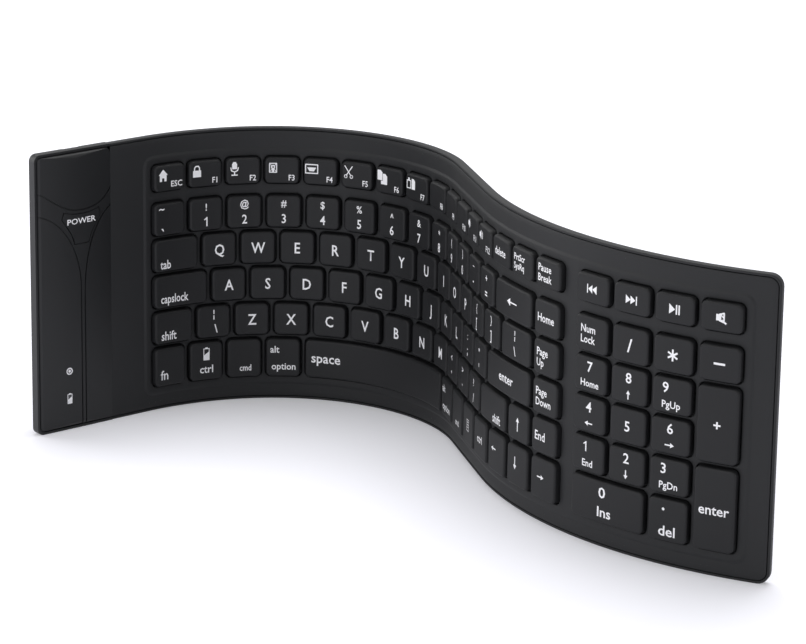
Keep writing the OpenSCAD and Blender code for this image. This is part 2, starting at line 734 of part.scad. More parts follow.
module battery() {
  color([0.6, 0.6, 0.65]) at_station(0)
    translate([cavity_left + 1, cavity_low + 12, cavity_floor + 0.1])
      cube([cavity_right - cavity_left - 2, battery_h, battery_t]);
}

module cover_screws() {
  color(metal_colour) for (p = screw_places) at_station(0) translate([p[0], p[1], hump_face + 0.1]) {
    cylinder(h = 0.75, r = screw_r * 1.8, $fn = fine);
    cylinder(h = cover_foot - hump_face - 0.8, r = screw_r, $fn = fine);
  }
}

main_skin();
main_back();
main_film();
pad_skin();
pad_back();
pad_film();
pod_web();
pad_web();
pod_tail();
pad_tail();
pod_front_cover();
pod_back_cover();
power_button();
power_switch();
controller_board();
board_chips();
radio_module();
indicator_lamps();
indicator_windows();
tail_connector();
charge_socket();
battery();
cover_screws();
for (group = row_groups) key_group(group);
for (i = [0 : len(main_single_keys) - 1])
  single_key(main_single_boxes[i]);
for (i = [0 : len(pad_single_keys) - 1])
  single_key(pad_boxes[i]);
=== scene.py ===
"""Looks of a flexible silicone keyboard that stands on its long edge, bent into a wave.

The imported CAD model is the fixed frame. The sheet's skins, trays, bending strips, film tails and keys
get soft pieces that follow the wave, the pod keeps its CAD solids with better materials, and the key
legends are laid on as thin ink. A place on the sheet is (s, z, n): the distance along it from its left
end, the height above the floor and the distance from its middle towards the keys. These are in
millimetres, and a mesh is in metres.
"""

from __future__ import annotations

import json
import logging
import math
from dataclasses import dataclass, field
from enum import Enum
from functools import cache

import bpy
import numpy as np
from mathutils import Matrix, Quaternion, Vector

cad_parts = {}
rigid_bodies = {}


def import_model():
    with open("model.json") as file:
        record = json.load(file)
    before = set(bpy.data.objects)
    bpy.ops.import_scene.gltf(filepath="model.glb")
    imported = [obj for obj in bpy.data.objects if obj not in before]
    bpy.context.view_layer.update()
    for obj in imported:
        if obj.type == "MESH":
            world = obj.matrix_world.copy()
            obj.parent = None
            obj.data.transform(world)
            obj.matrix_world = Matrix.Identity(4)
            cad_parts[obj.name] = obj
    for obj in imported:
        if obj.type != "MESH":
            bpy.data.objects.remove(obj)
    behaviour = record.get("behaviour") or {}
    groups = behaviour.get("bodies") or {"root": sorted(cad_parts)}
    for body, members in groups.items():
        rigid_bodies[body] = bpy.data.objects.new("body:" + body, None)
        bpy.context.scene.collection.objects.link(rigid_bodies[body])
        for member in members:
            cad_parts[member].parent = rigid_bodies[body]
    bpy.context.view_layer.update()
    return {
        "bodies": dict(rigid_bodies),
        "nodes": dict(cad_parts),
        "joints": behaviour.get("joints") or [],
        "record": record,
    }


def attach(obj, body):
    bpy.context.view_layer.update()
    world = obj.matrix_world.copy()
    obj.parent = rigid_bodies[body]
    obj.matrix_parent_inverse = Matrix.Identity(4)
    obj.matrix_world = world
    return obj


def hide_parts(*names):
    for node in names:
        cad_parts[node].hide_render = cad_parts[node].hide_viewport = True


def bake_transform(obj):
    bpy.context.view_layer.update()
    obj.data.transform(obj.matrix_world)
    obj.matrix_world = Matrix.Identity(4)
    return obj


LOG = logging.getLogger("keyboard")
MM = 0.001
TINY = 1e-6
Point = tuple[float, float]
Outline = list[Point]
Profile = tuple[Point, ...]
Picture = list[tuple[float, Outline]]
Faces = list[tuple[int, ...]]


# Small helpers


def linked(name: str, data: bpy.types.ID) -> bpy.types.Object:
    """Makes an object of some data, at the origin, and links it into the scene."""
    made = bpy.data.objects.new(name, data)
    bpy.context.scene.collection.objects.link(made)
    return made


def evaluated_mesh(thing: bpy.types.Object) -> bpy.types.Mesh:
    """The plain mesh that an object's modifiers or text give."""
    bpy.context.view_layer.update()
    graph = bpy.context.evaluated_depsgraph_get()
    return bpy.data.meshes.new_from_object(thing.evaluated_get(graph), depsgraph=graph)


def feed(target: bpy.types.Node, inputs: dict[str | int, object]) -> bpy.types.Node:
    """Fills a node's inputs.

    Args:
        target: The node.
        inputs: What each input gets, by name or number: a socket to follow, or a value.

    Returns:
        The same node.
    """
    for place, value in inputs.items():
        if isinstance(value, bpy.types.NodeSocket):
            target.id_data.links.new(value, target.inputs[place])
        else:
            target.inputs[place].default_value = value
    return target


def add_node(
    tree: bpy.types.NodeTree, kind: str, inputs: dict[str | int, object] | None = None, **settings: object
) -> bpy.types.Node:
    """Adds a node to a tree.

    Args:
        tree: The tree.
        kind: The node's type.
        inputs: What its inputs get, as in feed.
        settings: The node's own properties.

    Returns:
        The node.
    """
    made = tree.nodes.new(kind)
    for name, value in settings.items():
        setattr(made, name, value)
    return feed(made, inputs or {})


# The wave


@dataclass(frozen=True)
class Run:
    """A straight run or an arc of the wave, seen from above."""

    length: float
    turn: float = 0.0

    @property
    def bend(self) -> float:
        """The turn in radians."""
        return math.radians(self.turn)

    def ahead(self, heading: float, way: np.ndarray) -> np.ndarray:
        """How far x and y come along the run.

        Args:
            heading: The run's first heading in radians.
            way: Distances along the run.

        Returns:
            One row (x, y) for each distance.
        """
        if not self.turn:
            return np.stack([way * math.cos(heading), way * math.sin(heading)], -1)
        radius = self.length / self.bend
        angle = heading + way * self.bend / self.length
        dx, dy = np.sin(angle) - math.sin(heading), math.cos(heading) - np.cos(angle)
        return radius * np.stack([dx, dy], -1)


@dataclass(frozen=True)
class Wave:
    """The line that the bent sheet follows, seen from above."""

    left_end: Point = (-147.112, 53.155)
    heading: float = 40.0
    runs: tuple[Run, ...] = (
        Run(57.0), Run(40.0, -23.0), Run(127.0, -93.0), Run(46.0), Run(166.6, 55.0),
    )

    @property
    def length(self) -> float:
        """Length of the whole sheet."""
        return sum(run.length for run in self.runs)

    def place(self, s: np.ndarray, z: np.ndarray, n: np.ndarray) -> np.ndarray:
        """Finds places in space.

        Args:
            s: Distances along the sheet.
            z: Heights above the floor.
            n: Distances from the sheet's middle towards the keys.

        Returns:
            One row (x, y, z) in millimetres for each place.
        """
        s, z, n = np.broadcast_arrays(*(np.asarray(v, float) for v in (s, z, n)))
        spot, turned = np.zeros((*s.shape, 2)), np.zeros(s.shape)
        start, point, heading = 0.0, np.array(self.left_end), math.radians(self.heading)
        for run in self.runs:
            first, last = run is self.runs[0], run is self.runs[-1]
            here = ((s >= start) | first) & ((s < start + run.length) | last)
            way = s[here] - start
            spot[here] = point + run.ahead(heading, way)
            turned[here] = heading + way * run.bend / run.length
            point = point + run.ahead(heading, np.array(run.length))
            start += run.length
            heading += run.bend
        x, y = spot[..., 0], spot[..., 1]
        return np.stack([x + n * np.sin(turned), y - n * np.cos(turned), z], -1)

    def metres(self, s: float, z: float, n: float) -> Vector:
        """One place in the frame, in metres."""
        return Vector(self.place(np.array([s]), np.array([z]), np.array([n]))[0] * MM)

    def curve(self) -> bpy.types.Object:
        """Makes the line as a curve of short steps, for the node trees to sample."""
        stations = np.linspace(0, self.length, int(self.length) + 1)
        points = self.place(stations, np.zeros(1), np.zeros(1)) * MM
        data = bpy.data.curves.new("wave_line", "CURVE")
        data.dimensions = "3D"
        spline = data.splines.new("POLY")
        spline.points.add(len(points) - 1)
        spline.points.foreach_set("co", np.c_[points, np.ones(len(points))].ravel())
        return linked("wave_line", data)


# Finishes


@cache
def moulded_surface() -> bpy.types.NodeTree:
    """Builds the shader group that all finishes share: fine grain, cloudy tone and faint dust.

    Returns:
        A group that gives a colour, a roughness and a height.
    """
    tree = bpy.data.node_groups.new("moulded_surface", "ShaderNodeTree")
    for label, value in {
        "Colour": (0.03, 0.03, 0.03, 1.0),
        "Worn Colour": (0.05, 0.05, 0.05, 1.0),
        "Grain Scale": 1800.0,
        "Cloud Scale": 22.0,
        "Cloud Share": 0.35,
        "Dust": 0.05,
        "Roughness": 0.6,
        "Roughness Spread": 0.12,
    }.items():
        kind = "NodeSocketColor" if isinstance(value, tuple) else "NodeSocketFloat"
        tree.interface.new_socket(name=label, in_out="INPUT", socket_type=kind).default_value = value
    for label, kind in (
        ("Colour", "NodeSocketColor"), ("Roughness", "NodeSocketFloat"), ("Height", "NodeSocketFloat"),
    ):
        tree.interface.new_socket(name=label, in_out="OUTPUT", socket_type=kind)
    given = tree.nodes.new("NodeGroupInput").outputs
    where = tree.nodes.new("ShaderNodeTexCoord").outputs["Object"]

    def noise(scale: object, detail: float) -> bpy.types.NodeSocket:
        """One noise texture on the object's own coordinates."""
        inputs = {"Vector": where, "Scale": scale, "Detail": detail}
        return add_node(tree, "ShaderNodeTexNoise", inputs).outputs["Fac"]

    def step(kind: str, a: object, b: object) -> bpy.types.NodeSocket:
        """One arithmetic step between sockets or numbers."""
        return add_node(tree, "ShaderNodeMath", {0: a, 1: b}, operation=kind).outputs[0]

    grain, cloud = noise(given["Grain Scale"], 3.0), noise(given["Cloud Scale"], 4.0)
    specks = add_node(
        tree, "ShaderNodeMapRange", {"Value": noise(420.0, 2.0), "From Min": 0.68, "From Max": 0.78}
    )
    tone = step("MULTIPLY", cloud, given["Cloud Share"])
    dusty = step("MULTIPLY", specks.outputs["Result"], given["Dust"])
    colours = {"Factor": step("ADD", tone, dusty), "A": given["Colour"], "B": given["Worn Colour"]}
    mix = add_node(tree, "ShaderNodeMix", colours, data_type="RGBA")
    spread = step("MULTIPLY", step("SUBTRACT", cloud, 0.5), given["Roughness Spread"])
    results = {
        "Colour": mix.outputs["Result"],
        "Roughness": step("ADD", given["Roughness"], spread),
        "Height": step("ADD", grain, step("MULTIPLY", cloud, 0.25)),
    }
    add_node(tree, "NodeGroupOutput", results)
    return tree


@dataclass(frozen=True)
class Finish:
    """A moulded, printed or metal surface, made from the shared group."""

    name: str
    colour: tuple[float, float, float]
    worn: tuple[float, float, float]
    roughness: float = 0.6
    spread: float = 0.12
    grain: float = 1800.0
    cloud: float = 22.0
    cloud_share: float = 0.35
    dust: float = 0.05
    bump: float = 0.12
    relief: float = 0.0002
    metallic: float = 0.0
    sheen: float = 0.0
    specular: float = 0.5

    @cache
    def material(self) -> bpy.types.Material:
        """Builds the material, once."""
        material = bpy.data.materials.new(self.name)
        material.use_nodes = True
        tree = material.node_tree
        values = {
            "Colour": (*self.colour, 1.0),
            "Worn Colour": (*self.worn, 1.0),
            "Grain Scale": self.grain,
            "Cloud Scale": self.cloud,
            "Cloud Share": self.cloud_share,
            "Dust": self.dust,
            "Roughness": self.roughness,
            "Roughness Spread": self.spread,
        }
        surface = add_node(tree, "ShaderNodeGroup", values, node_tree=moulded_surface()).outputs
        bumps = {"Height": surface["Height"], "Strength": self.bump, "Distance": self.relief}
        look = {
            "Base Color": surface["Colour"],
            "Roughness": surface["Roughness"],
            "Normal": add_node(tree, "ShaderNodeBump", bumps).outputs["Normal"],
            "Metallic": self.metallic,
            "Sheen Weight": self.sheen,
            "Specular IOR Level": self.specular,
        }
        feed(tree.nodes["Principled BSDF"], look)
        return material


SILICONE = Finish(
    "black_silicone", (0.012, 0.0125, 0.0138), (0.019, 0.0198, 0.0225), specular=0.34, sheen=0.02
)
KEY_SILICONE = Finish(
    "satin_key_silicone", (0.0105, 0.0108, 0.012), (0.017, 0.0175, 0.02), roughness=0.56,
    grain=2400.0, specular=0.3,
)
COVER = Finish(
    "pod_cover_silicone", (0.011, 0.0115, 0.0125), (0.018, 0.019, 0.022), roughness=0.43, bump=0.08,
    specular=0.36,
)
INK = Finish("legend_ink", (0.92, 0.92, 0.94), (0.82, 0.82, 0.85), roughness=0.5, dust=0.2)
FILM = Finish("contact_film", (0.45, 0.50, 0.48), (0.60, 0.63, 0.60), roughness=0.35, bump=0.03)
BOARD = Finish("board_mask", (0.010, 0.085, 0.035), (0.02, 0.13, 0.06), roughness=0.35)
CHIP = Finish("chip_resin", (0.015, 0.015, 0.016), (0.03, 0.03, 0.03), roughness=0.5)
SHIELD = Finish(
    "shield_sheet", (0.55, 0.55, 0.56), (0.40, 0.40, 0.41), roughness=0.32, metallic=1.0, cloud=60.0
)
FOIL = Finish(
    "foil_wrap", (0.50, 0.50, 0.53), (0.62, 0.62, 0.64), roughness=0.38, metallic=0.85, bump=0.4,
    grain=260.0,
)
SCREW = Finish(
    "screw_steel", (0.42, 0.42, 0.44), (0.25, 0.25, 0.26), roughness=0.25, metallic=1.0, dust=0.3
)
WINDOW = Finish("light_window", (0.06, 0.06, 0.065), (0.09, 0.09, 0.10), roughness=0.25, bump=0.04)
LAMP = Finish("lamp_resin", (0.85, 0.80, 0.55), (0.80, 0.78, 0.60), roughness=0.3)
HOUSING = Finish("connector_resin", (0.70, 0.66, 0.55), (0.60, 0.56, 0.46), roughness=0.55)


# Flat drawings


class Open(Enum):
    """Which short ends of a stretch of sheet go on into the next one: the left, the right."""

    NONE = (False, False)
    LEFT = (True, False)
    RIGHT = (False, True)
    BOTH = (True, True)

    def inside(self, box: Box, inset: float) -> Box:
        """A rectangle with every side moved in, except the open ends."""
        left, right = (0.0 if is_open else inset for is_open in self.value)
        return Box(box.s0 + left, box.s1 - right, box.z0 + inset, box.z1 - inset)


@dataclass(frozen=True)
class Box:
    """A rectangle on the flat sheet."""

    s0: float
    s1: float
    z0: float
    z1: float

    @property
    def middle(self) -> Point:
        """The rectangle's centre."""
        return ((self.s0 + self.s1) / 2, (self.z0 + self.z1) / 2)

    @property
    def half(self) -> Point:
        """Half its width and half its height."""
        return ((self.s1 - self.s0) / 2, (self.z1 - self.z0) / 2)

    def grown(self, margin: float) -> Box:
        """The rectangle with a margin on every side."""
        return Box(self.s0 - margin, self.s1 + margin, self.z0 - margin, self.z1 + margin)


@dataclass
class Flat:
    """A piece drawn on the flat sheet: vertices (s, z, n) and faces that turn outwards."""

    rows: list[np.ndarray] = field(default_factory=list)
    faces: Faces = field(default_factory=list)
    count: int = 0

    def add(self, points: np.ndarray) -> int:
        """Adds vertices and gives the first one's number."""
        first = self.count
        self.rows.append(np.asarray(points, float))
        self.count += len(points)
        return first

    def strip(self, lines: list[np.ndarray], closed: bool) -> list[int]:
        """Joins lines of equally many vertices with quads.

        Args:
            lines: The lines, from the outer one to the inner one, each counter-clockwise.
            closed: Whether each line is a loop.

        Returns:
            The number of each line's first vertex.
        """
        firsts = [self.add(line) for line in lines]
        size = len(lines[0])
        for a, b in zip(firsts, firsts[1:]):
            for i in range(size if closed else size - 1):
                j = (i + 1) % size
                self.faces.append((a + i, a + j, b + j, b + i))
        return firsts

    def plate(self, box: Box, n: float, back: bool = False, step: float = 3.0) -> None:
        """Adds a flat plate that can bend, facing the front or the back."""
        if min(box.half) < TINY / 2:
            return
        stations = np.linspace(box.s0, box.s1, max(2, math.ceil((box.s1 - box.s0) / step) + 1))
        low = np.c_[stations, np.full(len(stations), box.z0), np.full(len(stations), n)]
        high = low + np.array([0, box.z1 - box.z0, 0])
        self.strip([high, low] if back else [low, high], closed=False)

    def object(self, name: str) -> bpy.types.Object:
        """Makes the drawing an object: s along X, the front towards -Y, z along Z."""
        points = np.concatenate(self.rows) * MM
        mesh = bpy.data.meshes.new(name)
        mesh.from_pydata(np.c_[points[:, 0], -points[:, 2], points[:, 1]].tolist(), [], self.faces)
        return linked(name, mesh)


def rounded_lines(
    box: Box, inset: float, radius: float, ends: Open, step: float = 3.0
) -> list[Outline]:
    """Draws a rounded rectangle, or the sides of one that stay when its ends are open.

    Args:
        box: The rectangle.
        inset: How far inside it the line runs.
        radius: Corner radius at inset 0.
        ends: Which short ends are open.
        step: Longest distance between vertices along s.

    Returns:
        Lines of (s, z), counter-clockwise: one loop, one open line or two.
    """
    r = max(radius - inset, 0.02)
    line = ends.inside(box, inset)
    core = ends.inside(line, r)
    parts = max(1, math.ceil((box.s1 - box.s0) / step))

    def arc(s: float, z: float, first: float) -> Outline:
        """A quarter circle round a centre, from an angle on."""
        angles = np.radians(first + np.linspace(0, 90, 7))
        return [(s + r * math.cos(a), z + r * math.sin(a)) for a in angles]

    low = [(s, line.z0) for s in np.linspace(core.s0, core.s1, parts + 1)]
    high = [(s, line.z1) for s in np.linspace(core.s1, core.s0, parts + 1)]
    right = arc(core.s1, core.z0, -90)[1:] + arc(core.s1, core.z1, 0)[:-1]
    left = arc(core.s0, core.z1, 90)[1:] + arc(core.s0, core.z0, 180)[:-1]
    return {
        Open.NONE: [low + right + high + left],
        Open.LEFT: [low + right + high],
        Open.RIGHT: [high + left + low],
        Open.BOTH: [low, high],
    }[ends]


def rim(flat: Flat, box: Box, radius: float, profile: Profile, ends: Open) -> None:
    """Sweeps a profile round a rectangle.

    Args:
        flat: The drawing to add to.
        box: The rectangle.
        radius: Its corner radius.
        profile: Points (inset, n), from the outermost or rearmost on.
        ends: Which short ends are open.
    """
    rings = [(rounded_lines(box, inset, radius, ends), n) for inset, n in profile]
    for k in range(len(rings[0][0])):
        lines = [np.c_[np.array(ring[k]), np.full(len(ring[k]), n)] for ring, n in rings]
        flat.strip(lines, closed=ends is Open.NONE)


# Node trees


@dataclass
class WaveNodes:
    """Geometry node trees that lay flat drawings on the wave."""

    wave: Wave

    def __post_init__(self) -> None:
        """Makes the line to sample and the trees."""
        self.line = self.wave.curve()
        self.wrap = self._wrap_group()
        self.piece_tree = self._piece_tree()
        self.key_tree = self._key_tree()

    @staticmethod
    def _start(
        name: str, inputs: dict[str, str]
    ) -> tuple[bpy.types.NodeTree, bpy.types.bpy_prop_collection]:
        """Starts a tree that changes a geometry.

        Args:
            name: The tree's name.
            inputs: The kinds of its further inputs, by name.

        Returns:
            The tree and the sockets of its inputs.
        """
        tree = bpy.data.node_groups.new(name, "GeometryNodeTree")
        for label, kind in {"Geometry": "NodeSocketGeometry", **inputs}.items():
            tree.interface.new_socket(name=label, in_out="INPUT", socket_type=kind)
        tree.interface.new_socket(name="Geometry", in_out="OUTPUT", socket_type="NodeSocketGeometry")
        return tree, tree.nodes.new("NodeGroupInput").outputs

    @staticmethod
    def _vector(tree: bpy.types.NodeTree, kind: str, a: object, b: object = None) -> bpy.types.NodeSocket:
        """One step of arithmetic between vectors."""
        inputs = {0: a} if b is None else {0: a, "Scale" if kind == "SCALE" else 1: b}
        return add_node(tree, "ShaderNodeVectorMath", inputs, operation=kind).outputs[0]

    def _wrap_group(self) -> bpy.types.NodeTree:
        """A group that bends a flat drawing: X becomes the way along the wave, -Y its front."""
        tree, given = self._start("lay_on_the_wave", {"Wave": "NodeSocketObject"})
        info = add_node(tree, "GeometryNodeObjectInfo", {"Object": given["Wave"]}).outputs
        here = tree.nodes.new("GeometryNodeInputPosition").outputs[0]
        drawn = add_node(tree, "ShaderNodeSeparateXYZ", {0: here}).outputs
        sampled = {"Curves": info["Geometry"], "Length": drawn["X"]}
        line = add_node(tree, "GeometryNodeSampleCurve", sampled, mode="LENGTH").outputs
        across = self._vector(tree, "CROSS_PRODUCT", line["Tangent"], (0, 0, -1))
        out = self._vector(tree, "SCALE", self._vector(tree, "NORMALIZE", across), drawn["Y"])
        lift = add_node(tree, "ShaderNodeCombineXYZ", {"Z": drawn["Z"]}).outputs[0]
        spot = self._vector(tree, "ADD", self._vector(tree, "ADD", line["Position"], out), lift)
        laid = {"Geometry": given["Geometry"], "Position": spot}
        move = add_node(tree, "GeometryNodeSetPosition", laid)
        add_node(tree, "NodeGroupOutput", {0: move.outputs[0]})
        return tree

    def _finish(
        self, tree: bpy.types.NodeTree, given: bpy.types.bpy_prop_collection, flat: bpy.types.NodeSocket
    ) -> None:
        """Ends a tree: lays its flat result on the wave, smooths it and sets its material."""
        flat_piece = {"Geometry": flat, "Wave": given["Wave"]}
        wrap = add_node(tree, "GeometryNodeGroup", flat_piece, node_tree=self.wrap)
        smooth = add_node(tree, "GeometryNodeSetShadeSmooth", {"Geometry": wrap.outputs[0]})
        dressed = {"Geometry": smooth.outputs[0], "Material": given["Material"]}
        dress = add_node(tree, "GeometryNodeSetMaterial", dressed)
        add_node(tree, "NodeGroupOutput", {0: dress.outputs[0]})

    def _piece_tree(self) -> bpy.types.NodeTree:
        """The tree for a piece that is already drawn flat."""
        inputs = {"Wave": "NodeSocketObject", "Material": "NodeSocketMaterial"}
        tree, given = self._start("piece_on_the_wave", inputs)
        self._finish(tree, given, given["Geometry"])
        return tree

    def _key_tree(self) -> bpy.types.NodeTree:
        """The tree that sets one key on each point and stretches it to the point's own size."""
        inputs = {
            "Wave": "NodeSocketObject",
            "Material": "NodeSocketMaterial",
            "Corner Piece": "NodeSocketObject",
            "Corner Radius": "NodeSocketFloat",
        }
        tree, given = self._start("keys_on_the_wave", inputs)
        info = add_node(tree, "GeometryNodeObjectInfo", {"Object": given["Corner Piece"]})
        set_keys = {"Points": given["Geometry"], "Instance": info.outputs["Geometry"]}
        put = add_node(tree, "GeometryNodeInstanceOnPoints", set_keys)
        real = add_node(tree, "GeometryNodeRealizeInstances", {0: put.outputs[0]})

        def attribute(name: str) -> bpy.types.NodeSocket:
            """A named vector of each vertex."""
            kind = "GeometryNodeInputNamedAttribute"
            return add_node(tree, kind, {"Name": name}, data_type="FLOAT_VECTOR").outputs["Attribute"]

        inner = self._vector(tree, "SUBTRACT", attribute("half"), given["Corner Radius"])
        reach = self._vector(tree, "MULTIPLY", inner, attribute("corner"))
        stretched = {"Geometry": real.outputs[0], "Offset": reach}
        stretch = add_node(tree, "GeometryNodeSetPosition", stretched)
        self._finish(tree, given, stretch.outputs[0])
        return tree

    def bake(
        self, drawing: bpy.types.Object, tree: bpy.types.NodeTree, values: dict[str, object]
    ) -> bpy.types.Object:
        """Runs a tree on a drawing and keeps the result as a plain mesh.

        Args:
            drawing: The flat drawing, which is used up.
            tree: The tree to run.
            values: The tree's inputs by name.

        Returns:
            The new object, at the origin.
        """
        modifier = drawing.modifiers.new("lay", "NODES")
        modifier.node_group = tree
        for item in tree.interface.items_tree:
            if item.in_out == "INPUT" and item.name in values:
                modifier[item.identifier] = values[item.name]
        mesh = evaluated_mesh(drawing)
        mesh.name = name = drawing.name
        bpy.data.objects.remove(drawing)
        for label in ("corner", "half"):
            if label in mesh.attributes:
                mesh.attributes.remove(mesh.attributes[label])
        return linked(name, mesh)

    def piece(self, flat: Flat, name: str, finish: Finish) -> bpy.types.Object:
        """Lays one flat drawing on the wave."""
        values = {"Wave": self.line, "Material": finish.material()}
        return self.bake(flat.object(name), self.piece_tree, values)

    def clear(self) -> None:
        """Removes the line that the trees sampled."""
        bpy.data.objects.remove(self.line)


# Keys and their legends


class Sign(Enum):
    """Small pictures that stand on keys beside their words."""

    HOME = "home"
    PADLOCK = "padlock"
    MICROPHONE = "microphone"
    FRAMED_LENS = "framed lens"
    SCREEN_KEYS = "screen keys"
    SCISSORS = "scissors"
    COPY = "copy"
    PASTE = "paste"
    QUIETER = "quieter"
    LOUDER = "louder"
    MUTE = "mute"
    PREVIOUS = "previous"
    NEXT = "next"
    PLAY = "play"
    CELL = "cell"
    MENU = "menu"
    LEFT = "left"
    RIGHT = "right"
    UP = "up"
    DOWN = "down"
    LONG_LEFT = "long left"
    SMALL_UP = "small up"
    SMALL_DOWN = "small down"
    SPLIT_BAR = "split bar"
    STAR = "star"
    PLUS = "plus"
    DASH = "dash"
    ONE = "one"
    ROUNDEL = "roundel"


def ring(x: float, z: float, r: float) -> Outline:
    """A closed circle."""
    return [(x + r * math.cos(a), z + r * math.sin(a)) for a in np.linspace(0, 2 * math.pi, 15)]


def slab(x0: float, z0: float, x1: float, z1: float) -> Outline:
    """A rectangle, counter-clockwise."""
    return [(x0, z0), (x1, z0), (x1, z1), (x0, z1)]


def loop(x0: float, z0: float, x1: float, z1: float) -> Outline:
    """A line that runs round a rectangle."""
    return [*slab(x0, z0, x1, z1), (x0, z0)]


def arrow(turn: float, length: float, head: float) -> Picture:
    """An arrow along an angle in degrees."""
    c, s = math.cos(math.radians(turn)), math.sin(math.radians(turn))

    def at(u: float, v: float) -> Point:
        """A point along and across the arrow."""
        return (u * c - v * s, u * s + v * c)

    tip = length / 2
    shaft = [at(-tip, 0), at(tip - head * 0.8, 0)]
    point = [at(tip - head, -head * 0.62), at(tip, 0), at(tip - head, head * 0.62)]
    return [(0.55, shaft), (0.0, point)]


